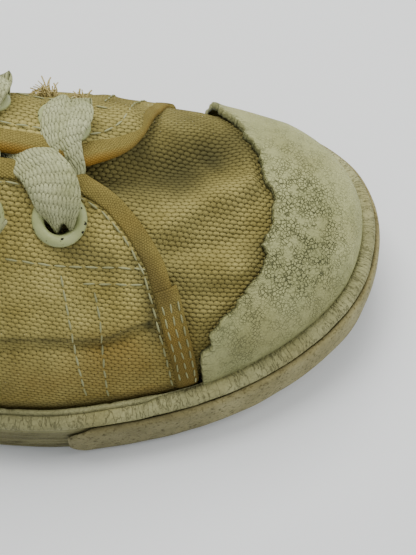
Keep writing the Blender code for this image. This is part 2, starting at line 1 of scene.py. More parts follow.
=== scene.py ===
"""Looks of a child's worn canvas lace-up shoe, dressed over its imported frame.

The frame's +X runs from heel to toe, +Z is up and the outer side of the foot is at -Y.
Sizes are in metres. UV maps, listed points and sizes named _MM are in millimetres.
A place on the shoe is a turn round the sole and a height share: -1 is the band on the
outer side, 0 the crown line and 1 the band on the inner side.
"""

import math
import random

import bmesh
import bpy
import numpy as np
from mathutils import Matrix, Vector, noise


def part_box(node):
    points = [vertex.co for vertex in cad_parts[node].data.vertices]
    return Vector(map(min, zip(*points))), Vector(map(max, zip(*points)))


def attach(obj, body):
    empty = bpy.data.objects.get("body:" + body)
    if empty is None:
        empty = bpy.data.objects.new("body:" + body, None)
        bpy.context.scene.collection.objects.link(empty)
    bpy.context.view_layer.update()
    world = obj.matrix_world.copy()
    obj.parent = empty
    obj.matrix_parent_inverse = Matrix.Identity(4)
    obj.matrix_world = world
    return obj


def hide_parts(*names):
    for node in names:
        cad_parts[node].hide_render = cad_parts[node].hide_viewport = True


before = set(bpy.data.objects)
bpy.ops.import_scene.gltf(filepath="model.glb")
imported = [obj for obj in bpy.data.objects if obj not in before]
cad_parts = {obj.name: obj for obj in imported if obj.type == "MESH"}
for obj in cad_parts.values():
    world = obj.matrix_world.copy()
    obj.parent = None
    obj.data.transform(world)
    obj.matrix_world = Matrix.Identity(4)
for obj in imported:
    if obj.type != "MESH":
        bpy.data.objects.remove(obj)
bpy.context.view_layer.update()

MM = 0.001

# Sizes that drive the shoe
BAND_LOW, BAND_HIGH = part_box("side_band")
HEEL_X = BAND_LOW.x
LENGTH = BAND_HIGH.x - BAND_LOW.x
BALL_WIDTH = 0.0726
BAND_HEIGHT = 0.0147
BAND_DEPTH = 0.0036
BAND_FLOOR_GAP = 0.0003
INSTEP_HEIGHT = 0.0655
HEEL_HEIGHT = 0.0520
HEEL_CURVE = 0.0016
HEEL_CURVE_END = 0.55
HEEL_CURVE_RUN = (0.02, 0.16)
UPPER_INSET = 0.0050
TOE_SPRING = 0.007
SPRING_START = 0.72
LIP_HEIGHT = 0.0011
LIP_END = (0.765, 0.795)
BUMPER_START = 0.688
BUMPER_TOP = 0.0116
BUMPER_BASE = 0.0006
BUMPER_THICK = 0.0015
BUMPER_RECESS = 0.0005
BUMPER_TAPER = 0.030
RECESS_RUN = (BUMPER_START + 0.012, BUMPER_START + 0.030)
OUTSOLE_TOP = 0.0055
SOLE_GAP = 0.0003
INSOLE_THICK = 0.0030
THROAT_FRONT = 0.705
THROAT_HALF_FRONT = 0.0002
THROAT_HALF_TOP = 0.0070
FACING_TOP = 0.445
HEEL_POLE, TOE_POLE, TOE_SLOPE = 0.171, 0.906, -0.30
TOE_POLE_NORMAL = (0.28, 0.0, 0.96)
EYELET_PAIRS = 4
EYELET_HOLE = 0.0032

# Cloth and rubber
QUARTER_STEP = 0.0008
QUARTER_WALL = 0.0014
VAMP_WALL = 0.0010
CAP_STEP = 0.0015
CAP_RIM = 0.04             # share of the cap's rows folded down as its torn rim
SKIRT_DROP = 0.0075        # cloth hidden behind the side band
SKIRT_END = 1.1            # height share of its lower edge
NEAR_PUFF = 0.0011         # how far the outer quarter's edge stands off the vamp
FAR_PUFF = 0.0026          # the same on the inner side
VAMP_RUN = (0.60, 0.945)   # shares of the length that the vamp's canvas covers
UNDER_QUARTER = 0.0008     # the vamp's dip under a quarter, under the throat and under the cap
UNDER_THROAT = 0.0016
UNDER_CAP = 0.0003
TONGUE_WALL = 0.0012
SOCK_WALL = 0.0026
SOCK_GAP = 0.0021          # from the band's inner face to the sock, filled by the upper

# Small relief of each piece
QUARTER_SAG = 0.0005       # uneven height of worn cloth
VAMP_SAG = 0.0004
TONGUE_SAG = 0.0004
TONGUE_SINK = 0.0021       # how far the tongue lies under the facings
TONGUE_DIVE = 0.0022       # and how much lower where it runs under the vamp
CAP_CURL = 0.0002          # lift of the cap's torn edge, and its waves
CAP_CURL_WAVE = 0.0005
CAP_LOOSE_LIFT = 0.0012
CAP_TUCK = 0.0002          # the rim's foot, just inside the vamp's face
CAP_SPREAD = 0.0004        # the cap's sides are pressed out and down behind the band
CAP_DROP = 0.0013
BAND_WRINKLE = 0.00018
BAND_WAVE = 0.00012
BUMPER_WAVE = 0.00012
BUMPER_EDGE_WAVE = 0.0002
BUMPER_BACK = 0.0003       # the bumper's hidden face stands off the band
SOCK_DISH = 0.0007
STITCH_LIFT = 0.0001
TAPE_FACE = 0.00064        # height of a seam tape's face over the cloth
LACE_FOLD = 0.0020         # the lace gathers where it is pulled narrow
LACE_CREASE = 0.0010
LACE_RIPPLE = 0.00015
LACE_DROOP = 0.0009        # its two edges hang lower than its middle

# Torn edge of the cap: length of its teeth, seed, depth
TEETH = ((0.0030, 3.0, 0.0007), (0.0011, 9.0, 0.0005), (0.0004, 19.0, 0.0003))

# Outline: share of length, outer and inner side as shares of BALL_WIDTH
OUTLINE = np.array([
    (0.000, 0.000, 0.000), (0.010, -0.139, 0.139), (0.035, -0.248, 0.244),
    (0.080, -0.332, 0.325), (0.150, -0.373, 0.364), (0.250, -0.380, 0.348),
    (0.350, -0.388, 0.321), (0.450, -0.417, 0.322), (0.550, -0.467, 0.390),
    (0.620, -0.496, 0.461), (0.680, -0.501, 0.494), (0.740, -0.480, 0.500),
    (0.800, -0.445, 0.493), (0.860, -0.390, 0.466), (0.910, -0.318, 0.419),
    (0.950, -0.236, 0.350), (0.980, -0.137, 0.259), (0.993, -0.056, 0.186),
    (1.000, 0.070, 0.070)])

# Last: share of length, crown height, crown offset, fullness of the outer and inner side
SECTIONS = np.array([
    (0.000, 1.235, 0.000, 2.80, 2.80), (0.171, 1.225, 0.000, 2.70, 2.70),
    (0.302, 1.130, -0.007, 2.30, 2.30), (0.428, 1.031, -0.007, 1.85, 1.95),
    (0.503, 0.962, 0.000, 1.65, 1.90), (0.579, 0.887, 0.007, 1.52, 1.92),
    (0.654, 0.803, 0.014, 1.50, 1.95), (0.720, 0.716, 0.022, 1.55, 1.98),
    (0.780, 0.622, 0.038, 1.80, 2.05), (0.830, 0.560, 0.052, 2.00, 2.15),
    (0.886, 0.511, 0.062, 2.20, 2.40), (0.906, 0.495, 0.064, 2.25, 2.50),
    (1.000, 0.470, 0.064, 2.30, 2.50)])

# Collar from the side: share of length, share of HEEL_HEIGHT
COLLAR = np.array([
    (-0.020, 1.020), (0.030, 1.000), (0.090, 0.945), (0.170, 0.872), (0.250, 0.830),
    (0.310, 0.835), (0.360, 0.895), (0.400, 1.000), (0.425, 1.120), (0.440, 1.280),
    (0.447, 1.480), (0.450, 2.200)])

# Front edge of each quarter seen from above, in mm: out from the middle, place on X
QUARTER_EDGE = {
    -1: np.array([(0.0, 39.6), (0.8, 42.2), (2.2, 46.2), (6.4, 51.0), (11.5, 55.0), (17.7, 57.4),
                  (23.9, 59.6), (28.5, 61.4), (36.0, 62.0)]),
    1: np.array([(0.0, 37.6), (1.5, 40.6), (3.2, 44.4), (6.4, 48.4), (10.0, 50.6), (14.5, 52.2),
                 (20.0, 53.8), (25.0, 55.0), (36.0, 57.0)]),
}

# Torn edge of the cap: share of BALL_WIDTH across, share of length
TEAR = np.array([
    (-0.480, 0.812), (-0.400, 0.815), (-0.355, 0.822), (-0.335, 0.819), (-0.315, 0.830),
    (-0.300, 0.828), (-0.270, 0.836), (-0.240, 0.853), (-0.205, 0.862), (-0.150, 0.878),
    (-0.090, 0.880), (-0.035, 0.888), (0.045, 0.890), (0.105, 0.879), (0.175, 0.877),
    (0.230, 0.866), (0.290, 0.858), (0.340, 0.838), (0.400, 0.831), (0.440, 0.815),
    (0.490, 0.806)])

TONGUE = np.array([
    (0.378, 0.14), (0.395, 0.22), (0.430, 0.25), (0.560, 0.23), (0.680, 0.19), (0.740, 0.12),
    (0.755, 0.07)])


# Shape of the last

def unit(vectors):
    return vectors / np.maximum(np.linalg.norm(vectors, axis=-1, keepdims=True), 1e-12)


def along(share):
    return HEEL_X + LENGTH * np.asarray(share, dtype=float)


def share_at(x):
    return (np.asarray(x, dtype=float) - HEEL_X) / LENGTH


def curve(table, k, x):
    """A smooth curve through column k of a table, over its first column."""
    xs, ys = table[:, 0], table[:, k]
    slope = np.gradient(ys, xs)
    i = np.clip(np.searchsorted(xs, x) - 1, 0, len(xs) - 2)
    span = xs[i + 1] - xs[i]
    t = np.clip((x - xs[i]) / span, 0, 1)
    start = (2 * t**3 - 3 * t**2 + 1) * ys[i] + (t**3 - 2 * t**2 + t) * span * slope[i]
    return start + (3 * t**2 - 2 * t**3) * ys[i + 1] + (t**3 - t**2) * span * slope[i + 1]


def ramp(low, high, x):
    t = np.clip((np.asarray(x, dtype=float) - low) / (high - low), 0, 1)
    return t * t * (3 - 2 * t)


def turn_of(share):
    return np.arccos(np.clip(1 - 2 * np.asarray(share, dtype=float), -1, 1))


def share_of(turn):
    return (1 - np.cos(turn)) / 2


def lift(share):
    t = np.clip((np.asarray(share) - SPRING_START) / (1 - SPRING_START), 0, 1)
    return TOE_SPRING * t**2


OUTLINE_TURNS = np.column_stack([turn_of(OUTLINE[:, 0]), OUTLINE[:, 1:]])


def outline(turn):
    turn = np.asarray(turn, dtype=float) % (2 * math.pi)
    folded = np.where(turn > math.pi, 2 * math.pi - turn, turn)
    outer, inner = curve(OUTLINE_TURNS, 1, folded), curve(OUTLINE_TURNS, 2, folded)
    return np.stack([along(share_of(turn)), np.where(turn > math.pi, inner, outer) * BALL_WIDTH], -1)


def rim(turn, inset):
    """The band's outline moved inward."""
    ahead = unit(outline(turn + 0.01) - outline(turn - 0.01))
    inward = np.stack([-ahead[..., 1], ahead[..., 0]], -1)
    return outline(turn) + inward * np.asarray(inset)[..., None]


def bare_last(turn, v):
    """Points of the last's surface. Past the band the surface runs straight down."""
    share = share_of(turn)
    pole = np.clip(share, HEEL_POLE, TOE_POLE)
    crown_x = along(pole)
    crown_y = curve(SECTIONS, 2, pole) * BALL_WIDTH
    crown_z = curve(SECTIONS, 1, pole) * INSTEP_HEIGHT
    outer, inner = curve(SECTIONS, 3, share), curve(SECTIONS, 4, share)
    at_end = np.maximum(ramp(0.985, 1.0, share), 1 - ramp(0.0, 0.015, share))
    full = np.where(v < 0, outer, inner) * (1 - at_end) + (outer + inner) / 2 * at_end
    foot = rim(np.where(v < 0, turn, 2 * math.pi - turn), np.full(turn.shape, UPPER_INSET))
    foot_z = BAND_HEIGHT + lift(share)
    angle = np.clip(np.abs(v), 0, 1) * math.pi / 2
    out = np.sin(angle) ** (2 / full)
    up = np.clip(np.cos(angle), 0, 1) ** (2 / full)
    x = crown_x + (foot[:, 0] - crown_x) * out
    y = crown_y + (foot[:, 1] - crown_y) * out
    bulge = np.sin(math.pi * np.clip(up / HEEL_CURVE_END, 0, 1))
    x = x - HEEL_CURVE * bulge * (1 - ramp(*HEEL_CURVE_RUN, share))
    z = foot_z + (crown_z - foot_z) * up + TOE_SLOPE * np.maximum(x - crown_x, 0) * up
    z = z - np.maximum(np.abs(v) - 1, 0) / (SKIRT_END - 1) * SKIRT_DROP
    return np.stack([x, y, z], -1)


def last_normal(turn, v):
    here = np.abs(v)
    steep = np.clip(here, np.where(share_of(turn) > TOE_POLE - 0.02, 0.05, 0.0), 0.97)
    v = np.where(v < 0, -steep, steep)
    turn = np.clip(turn, 0.01, math.pi - 0.01)
    round_way = bare_last(turn + 0.008, v) - bare_last(turn - 0.008, v)
    up_way = bare_last(turn, v + 0.02) - bare_last(turn, v - 0.02)
    normal = unit(np.cross(round_way, up_way))
    at_pole = (ramp(TOE_POLE - 0.012, TOE_POLE, share_of(turn)) * (1 - ramp(0.0, 0.22, here)))[:, None]
    return unit(normal * (1 - at_pole) + np.array([TOE_POLE_NORMAL]) * at_pole)


def last(turn, v, rise):
    return bare_last(turn, v) + last_normal(turn, v) * np.asarray(rise)[..., None]


def height_share(x, y):
    """Turn and height share of places seen from above, between the ends of the crown."""
    share = np.clip(share_at(x), HEEL_POLE, TOE_POLE)
    crown_y = curve(SECTIONS, 2, share) * BALL_WIDTH
    outer = y < crown_y
    full = np.where(outer, curve(SECTIONS, 3, share), curve(SECTIONS, 4, share))
    turns = np.linspace(0.02, math.pi - 0.02, 400)
    near = rim(turns, np.full(400, UPPER_INSET))
    far = rim(2 * math.pi - turns, np.full(400, UPPER_INSET))
    edge = np.where(outer, np.interp(x, near[:, 0], near[:, 1]), np.interp(x, far[:, 0], far[:, 1]))
    out = np.clip(np.abs((y - crown_y) / (edge - crown_y)), 0, 0.9995)
    v = np.arcsin(out ** (full / 2)) * 2 / math.pi
    return turn_of(share_at(x)), np.where(outer, -v, v)


# Lines and bumps given as listed points

def smooth_line(points, count):
    """Even points on a smooth curve through given ones."""
    points = np.asarray(points, dtype=float)
    p = np.vstack([2 * points[:1] - points[1:2], points, 2 * points[-1:] - points[-2:-1]])
    t = np.linspace(0, len(points) - 1, 24 * len(points))
    i = np.clip(t.astype(int), 0, len(points) - 2)
    f = (t - i)[:, None]
    a, b, c, d = p[i], p[i + 1], p[i + 2], p[i + 3]
    bend = (2 * a - 5 * b + 4 * c - d) * f**2 + (3 * b - a - 3 * c + d) * f**3
    return even(0.5 * (2 * b + (c - a) * f + bend), count)


def way_along(points):
    """Length of a line up to each of its points."""
    return np.concatenate([[0], np.cumsum(np.linalg.norm(np.diff(points, axis=0), axis=1))])


def even(points, count):
    """Points spaced evenly along a line."""
    way = way_along(points)
    at = np.linspace(0, way[-1], count)
    return np.column_stack([np.interp(at, way, column) for column in points.T])


def near_line(x, y, line, width):
    """1 on a given line, falling off over a width; all in millimetres."""
    line = smooth_line(line, 24)
    best = np.full(np.shape(x), 1e9)
    for (ax, ay), (bx, by) in zip(line, line[1:]):
        dx, dy = bx - ax, by - ay
        t = np.clip(((x - ax) * dx + (y - ay) * dy) / (dx * dx + dy * dy + 1e-12), 0, 1)
        best = np.minimum(best, np.hypot(x - ax - t * dx, y - ay - t * dy))
    return np.exp(-(best / width) ** 2)


def near_lines(x, y, rows):
    """Given lines added up: each row has a line, its width and its height or strength."""
    return sum(height * near_line(x, y, line, width) for line, width, height in rows)


def rough(points, size, seed):
    """Smooth random numbers from -1 to 1 over points, with lumps of a size."""
    shift = Vector((seed * 3.7, seed * 1.3, seed * 9.1))
    return np.array([noise.noise(Vector(p) / size + shift) for p in points])


def blots(points, size, seed):
    return np.clip(rough(points, size, seed), 0, 1)


# Folds of the vamp, in millimetres seen from above: line, width, height
VAMP_FOLDS = (
    (((78, 11), (71, 5), (64, 0.5), (54, -7)), 2.4, 2.2),
    (((54, -12.5), (64, -12.5), (75, -9.5)), 2.4, 1.1),
    (((44, 1.5), (51, 4), (59, 7.5), (66, 12.5)), 4.2, -2.8),
    (((57, -9.8), (66, -7.0), (74, -3.5)), 1.8, -0.9),
    (((60, 19), (67, 14), (72, 13)), 3.0, 0.8),
    (((68, 3), (70, 7), (70.5, 9)), 1.2, -0.35),
    (((64, -20), (70, -17), (76, -16)), 2.6, 0.5),
    (((60, -17), (68, -15), (74, -13.5)), 1.8, -0.5),
)
# Pleats of the outer quarter
QUARTER_FOLDS = (
    (((18, -26.5), (26, -25.9), (39.6, -25.1), (45.9, -24.3), (53.3, -21.7)), 0.55, -0.70),
    (((18, -24.4), (26, -23.8), (40, -23.0), (50, -20.9)), 1.9, 0.50),
    (((20, -28.2), (36, -27.7), (48, -26.4)), 1.8, 0.35),
    (((-6, -22), (4, -20), (12, -17)), 3.0, -0.6),
    (((-40, -18), (-30, -22), (-18, -25)), 4.0, -0.7),
    (((-64, -20), (-56, -24), (-48, -26)), 3.5, 0.7),
)
FAR_FOLDS = (
    (((44, 24), (47, 17), (49, 11)), 2.6, 0.6),
    (((30, 22), (33, 15), (36, 10)), 3.2, -0.5),
    (((4, 24), (10, 18), (14, 12)), 3.5, -0.7),
    (((-30, 20), (-20, 24), (-6, 26)), 4.0, -0.6),
    (((-66, 18), (-56, 22), (-44, 23)), 3.5, 0.6),
)


def folded(p, folds):
    return near_lines(p[:, 0] / MM, p[:, 1] / MM, folds) * MM


# Dirt and rust on the canvas, with painted shade in the pleat and along the vamp's trough: line, width,
# strength
PLEAT = QUARTER_FOLDS[0][0]
CANVAS_DIRT_AND_SHADE = (
    # painted shade: the dark crease line of the outer quarter's pleat
    (PLEAT, 0.30, 0.50),
    (PLEAT, 1.6, 0.08),
    (((51, -13.5), (53, -17), (54.5, -22)), 1.9, 0.55),
    (((39, -13), (46, -14)), 2.4, 0.42),
    # painted shade along the vamp's deep trough, in the hollow under the inner quarter's lifted edge
    (((40, -1), (46, 1), (54, 2.5), (60, 5)), 4.5, 0.30),
    (((56, 8), (64, 13), (72, 16)), 5.0, 0.22),
)
CANVAS_RUST = (
    (((57, -20), (60, -25), (61.5, -28)), 2.6, 0.30),
    (((44, -27), (50, -26)), 3.0, 0.22),
)
# Crazing of the cap where it bends
CAP_CRACKLE = (
    (((81, 2), (83.5, -2), (82, -7)), 6.0, 1.3),
    (((80, 12), (84, 2), (80, -12)), 8.0, 0.35),
    (((77, -8), (74, -16), (70, -22)), 5.0, 0.45),
)
# Where the cap's far corner has come away from the band
CAP_LOOSE = ((64, 31), (68, 29), (71, 27))
# Footprint of the heel and of the ball on the insole
SOCK_WEAR = ((((-78, 0), (-66, 0)), 16, 0.55), (((26, 6), (40, 2)), 20, 0.55))


# Materials

# Pattern repeats in a metre
CLOUDS = 95.0              # clouds of fading and dust, about 10 mm
RUBBER_CLOUDS = 120.0      # the same on rubber, about 8 mm
PATCHES = 500.0            # crazed patches of 2 mm
CHIPS = 620.0              # chips of 1.6 mm in the enamel
CHIP_DEPTH = 0.00008       # in metres
ENAMEL_CLOUDS = 300.0
CRACK_WAVE = 1400.0        # a crack turns about every 0.7 mm
GRIT = 1500.0              # specks of 0.7 mm
GRAIN = 1700.0             # the moulded grain, coarser than real so that it shows
CRACK_DRIFT = 0.0006       # how far the cracks wander, in metres
FIBRES_PER_MM = 3.2        # fibres in a thread, on the cloth's own millimetres
DRIFTS_PER_MM = 0.35       # a thread strays over about 3 mm
ROW_WEIGHT = 3.4           # how much flatter a knuckle is across its thread


def linear(code):
    """The linear colour of an sRGB hex value."""
    parts = [int(code[i:i + 2], 16) / 255 for i in (1, 3, 5)]
    parts = [c / 12.92 if c <= 0.04045 else ((c + 0.055) / 1.055) ** 2.4 for c in parts]
    return (*parts, 1.0)


def node(tree, kind, inputs, out=0, **settings):
    """Add a node with its settings and its values or links, and give one of its outputs."""
    made = tree.nodes.new("ShaderNode" + kind)
    for name, value in settings.items():
        setattr(made, name, value)
    for socket, value in inputs.items():
        if isinstance(value, bpy.types.NodeSocket):
            tree.links.new(value, made.inputs[socket])
        else:
            made.inputs[socket].default_value = value
    return made.outputs[out]


def new_material(name, roughness, **sockets):
    made = bpy.data.materials.new(name)
    made.use_nodes = True
    shader = made.node_tree.nodes["Principled BSDF"]
    shader.inputs["Roughness"].default_value = roughness
    for socket, value in sockets.items():
        shader.inputs[socket.replace("_", " ")].default_value = value
    return made, made.node_tree, shader


def threads(tree, cloth, step, row, unrest):
    """Height of a tight weave: fat knuckles a step apart, every other row set half a step over."""
    drift = node(tree, "TexNoise", {"Vector": cloth, "Scale": DRIFTS_PER_MM, "Detail": 2.0}, out=1)
    shaken = node(tree, "VectorMath", {0: drift, 1: (unrest, unrest, 0.0), 2: cloth},
                  operation="MULTIPLY_ADD")
    away = []
    for axis, half in ((0, step / 2), (1, row)):
        saw = node(tree, "SeparateXYZ", {0: shaken}, out=axis)
        saw = node(tree, "Math", {0: saw, 1: half}, operation="PINGPONG")
        away.append(node(tree, "Math", {0: saw, 1: 1 / half}, operation="MULTIPLY"))
    squares = []
    for shifted in (False, True):
        total = 0.0
        for distance, weight in zip(away, (1.0, ROW_WEIGHT)):
            if shifted:
                distance = node(tree, "Math", {0: 1.0, 1: distance}, operation="SUBTRACT")
            square = node(tree, "Math", {0: distance, 1: distance}, operation="MULTIPLY")
            total = node(tree, "Math", {0: square, 1: weight, 2: total}, operation="MULTIPLY_ADD")
        squares.append(total)
    nearest = node(tree, "Math", {0: squares[0], 1: squares[1]}, operation="MINIMUM")
    return node(tree, "MapRange", {0: nearest, 2: 1.40, 3: 1.0, 4: 0.0})


def layered(tree, colour, *layers):
    """A colour with others over it, each by a node's value or by one painted on the points."""
    for factor, over in layers:
        if isinstance(factor, str):
            factor = node(tree, "Attribute", {}, out=2, attribute_name=factor)
        colour = node(tree, "Mix", {0: factor, 6: colour, 7: linear(over)}, out=2, data_type="RGBA")
    return colour


def surface(tree, shader, colour, height, bump, **settings):
    """Give a material its colour, and relief that is bump metres high."""
    bumped = node(tree, "Bump", {"Height": height, "Distance": bump, "Strength": 1.0}, **settings)
    tree.links.new(bumped, shader.inputs["Normal"])
    tree.links.new(colour, shader.inputs["Base Color"])


def cloth_material(name, dark, light, gap, warp, weft, bump, turn=0.0, unrest=0.5, stains=()):
    """Woven cotton: painted shade between its threads, fibres that kill any gloss, uneven dirt mixed with
    painted shade.
    """
    made, tree, shader = new_material(name, 0.95, Specular_IOR_Level=0.04)
    cloth = node(tree, "UVMap", {}, uv_map="cloth")
    turned = node(tree, "Mapping", {"Vector": cloth, "Rotation": (0.0, 0.0, turn)})
    height = threads(tree, turned, warp, weft, unrest)
    place = node(tree, "TexCoord", {}, out=3)
    broad = node(tree, "TexNoise", {"Vector": place, "Scale": CLOUDS, "Detail": 4.0, "Roughness": 0.65})
    broad = node(tree, "MapRange", {0: broad, 1: 0.34, 2: 0.66})
    fibre = node(tree, "TexNoise", {"Vector": turned, "Scale": FIBRES_PER_MM, "Detail": 3.0})
    fine = node(tree, "MapRange", {0: fibre, 1: 0.3, 2: 0.7, 3: 0.72, 4: 1.26})
    colour = layered(tree, linear(dark), (broad, light))
    colour = node(tree, "VectorMath", {0: colour, "Scale": fine}, operation="SCALE")
    # painted shade in the hollows between the threads
    painted_gap_shade = node(tree, "MapRange", {0: height, 2: 0.38, 3: 1.0, 4: 0.0}, interpolation_type="SMOOTHSTEP")
    colour = layered(tree, colour, *stains, (painted_gap_shade, gap))
    height = node(tree, "Math", {0: height, 1: 0.6}, operation="POWER")
    furry = node(tree, "Math", {0: fibre, 1: 0.25, 2: height}, operation="MULTIPLY_ADD")
    surface(tree, shader, colour, furry, bump)
    return made


# Washed-out olive canvas: fat threads, painted shade in the pinholes between them
CANVAS = cloth_material("worn_cotton_canvas", "#94874a", "#b8ab66", "#403714", 1.28, 0.82, 0.00060,
                        stains=(("rust", "#a5792f"), ("dirt", "#45432a")))
# Finer, browner ribbed tape on every raw edge
TWILL = cloth_material("cotton_twill_tape", "#766a38", "#8d7f45", "#4c421d", 0.50, 0.46, 0.00016,
                       turn=0.5, unrest=0.2, stains=(("rust", "#94702d"), ("dirt", "#4c4227")))
# Plain lining drill, rubbed and grey-brown inside the shoe
LINING = cloth_material("cotton_drill_lining", "#8a7c55", "#a3966c", "#54492b", 0.7, 0.5, 0.00015,
                        stains=(("rust", "#8a6c3c"), ("dirt", "#4f452c")))
# Flat braided lace: soft long plaits, grey with dust
LACE = cloth_material("braided_cotton_lace", "#97996d", "#bdbf93", "#6d6d51", 0.80, 1.80, 0.00034,
                      turn=0.34, unrest=1.2, stains=(("rust", "#a09766"), ("dirt", "#6d6a50")))
# Sewing thread, lighter than the cloth and slightly waxy
THREAD = cloth_material("sewing_thread", "#85845c", "#a2a277", "#5d5c40", 0.4, 0.2, 0.00006, unrest=0.1)
# Raw canvas fibres, paler than the woven face
FLUFF = cloth_material("raw_cotton_fibre", "#a3925a", "#bcae78", "#7a6a3a", 0.5, 0.5, 0.00004, unrest=0.1)


def rubber_material(name, base, pale, crack, cell, bump, roughness=0.62, speckle=0.45):
    """Perished vulcanised rubber: matt skin broken by fine cracks with dust, stains and painted shade in
    them; its dirt colour also carries painted shade.
    """
    made, tree, shader = new_material(name, roughness, Specular_IOR_Level=0.18)
    place = node(tree, "TexCoord", {}, out=3)
    broad = node(tree, "TexNoise", {"Vector": place, "Scale": RUBBER_CLOUDS, "Detail": 5.0, "Roughness": 0.6})
    broad = node(tree, "MapRange", {0: broad, 1: 0.33, 2: 0.67})
    speck = node(tree, "TexNoise", {"Vector": place, "Scale": GRIT, "Detail": 2.0})
    speck = node(tree, "MapRange", {0: speck, 1: 0.54, 2: 0.70, 4: speckle})
    colour = layered(tree, linear(base), (broad, pale), (speck, crack), ("rust", "#9b8a4a"), ("dirt", crack))
    warped = node(tree, "TexNoise", {"Vector": place, "Scale": CRACK_WAVE, "Detail": 2.0}, out=1)
    warped = node(tree, "VectorMath", {0: warped, 1: (CRACK_DRIFT,) * 3, 2: place}, operation="MULTIPLY_ADD")
    cells = node(tree, "TexVoronoi", {"Vector": warped, "Scale": 1 / (cell * MM)}, feature="DISTANCE_TO_EDGE")
    gaps = node(tree, "MapRange", {0: cells, 1: 0.01, 2: 0.11, 3: 1.0, 4: 0.0})
    patch = node(tree, "TexNoise", {"Vector": place, "Scale": PATCHES, "Detail": 4.0})
    patch = node(tree, "MapRange", {0: patch, 1: 0.36, 2: 0.56, 3: 0.05})
    mask = node(tree, "Attribute", {}, out=2, attribute_name="crackle")
    gaps = node(tree, "Math", {0: gaps, 1: mask}, operation="MULTIPLY")
    gaps = node(tree, "Math", {0: gaps, 1: patch}, operation="MULTIPLY")
    cloth = node(tree, "UVMap", {}, uv_map="cloth")
    for where, stretch, ragged, width, depth in (
            ("split", (0.48, 0.07, 1.0), 0.7, 0.020, 0.85),
            ("wrinkle", (0.05, 1.6, 1.0), 0.6, 0.045, 0.9)):
        line = node(tree, "Mapping", {"Vector": cloth, "Scale": stretch})
        line = node(tree, "TexNoise", {"Vector": line, "Scale": 1.0, "Detail": 3.0, "Roughness": ragged})
        line = node(tree, "Math", {0: line, 1: 0.5}, operation="SUBTRACT")
        line = node(tree, "Math", {0: line}, operation="ABSOLUTE")
        line = node(tree, "MapRange", {0: line, 2: width, 3: depth, 4: 0.0})
        mask = node(tree, "Attribute", {}, out=2, attribute_name=where)
        line = node(tree, "Math", {0: line, 1: mask}, operation="MULTIPLY")
        gaps = node(tree, "Math", {0: gaps, 1: line}, operation="MAXIMUM")
    # the cracks darkened: painted shade in them, with the dust they hold
    shade = node(tree, "Math", {0: gaps, 1: 0.8}, operation="MULTIPLY")
    colour = layered(tree, colour, (shade, crack))
    grain = node(tree, "TexVoronoi", {"Vector": warped, "Scale": GRAIN})
    height = node(tree, "Math", {0: grain, 1: 0.55, 2: gaps}, operation="MULTIPLY_ADD")
    surface(tree, shader, colour, height, bump, invert=True)
    return made


# Pale grey-green cap rubber, smooth on top and crazed where it bends
CAP_RUBBER = rubber_material("perished_cap_rubber", "#9b9c68", "#b1b17b", "#33361d", 0.70, 0.00030,
                             0.66, 0.12)
# Layers of the side band: greener on the ledge, brown-grey with street dirt below
BAND_RUBBER = rubber_material("perished_band_rubber", "#8e8b5e", "#aba878", "#3e3921", 1.1, 0.00024,
                              0.66, 0.2)
# Speckled bumper: yellower and dustier than the cap
BUMPER_RUBBER = rubber_material("dusty_bumper_rubber", "#8a835a", "#a49d72", "#4a4429", 0.9, 0.00022,
                                0.75, 0.85)
# Tread rubber: dark with ground-in dirt
TREAD_RUBBER = rubber_material("dirty_tread_rubber", "#6f6648", "#887e5c", "#37311f", 1.6, 0.00025, 0.8)


def enamel_material():
    """Cream enamel on steel: soft gloss, dulled by dust, with chips down to black rust."""
    made, tree, shader = new_material("chipped_cream_enamel", 0.42, Specular_IOR_Level=0.35)
    place = node(tree, "TexCoord", {}, out=3)
    chips = node(tree, "TexNoise", {"Vector": place, "Scale": CHIPS, "Detail": 3.0})
    chips = node(tree, "MapRange", {0: chips, 1: 0.635, 2: 0.655})
    broad = node(tree, "TexNoise", {"Vector": place, "Scale": ENAMEL_CLOUDS, "Detail": 3.0})
    colour = layered(tree, linear("#92985f"), (broad, "#adb27e"), ("dirt", "#6f6b4f"), (chips, "#1d1a14"))
    dull = node(tree, "MapRange", {0: chips, 3: 0.42, 4: 0.9})
    tree.links.new(dull, shader.inputs["Roughness"])
    fine = node(tree, "TexNoise", {"Vector": place, "Scale": GRIT, "Detail": 2.0})
    height = node(tree, "Math", {0: chips, 1: -1.4, 2: fine}, operation="MULTIPLY_ADD")
    surface(tree, shader, colour, height, CHIP_DEPTH)
    return made


ENAMEL = enamel_material()


# Meshes

MERGE = 2e-6
CAP_MERGE = 5e-5           # closes the cap's rows where they run together
PAINTS = ("dirt", "rust", "crackle", "split", "wrinkle")


def put(name, data):
    made = bpy.data.objects.new(name, data)
    bpy.context.scene.collection.objects.link(made)
    return made


def fresh():
    bm = bmesh.new()
    bm.loops.layers.uv.new("cloth")
    for name in PAINTS:
        bm.verts.layers.float.new(name)
    return bm


def lay_grid(bm, columns, rows, place, paint=None):
    """Add a grid whose points place() moves: it gives the points and their cloth in mm."""
    made = bmesh.ops.create_grid(bm, x_segments=columns, y_segments=rows, size=0.5)["verts"]
    flat = np.array([(v.co.x + 0.5, v.co.y + 0.5) for v in made])
    points, cloth = place(flat[:, 0], flat[:, 1])
    uv = bm.loops.layers.uv["cloth"]
    for vert, point, spot in zip(made, points, cloth):
        vert.co = point
        for loop in vert.link_loops:
            loop[uv].uv = spot
    for name, values in (paint(points, flat) if paint else {}).items():
        layer = bm.verts.layers.float[name]
        for vert, value in zip(made, np.clip(values, 0, 1)):
            vert[layer] = value


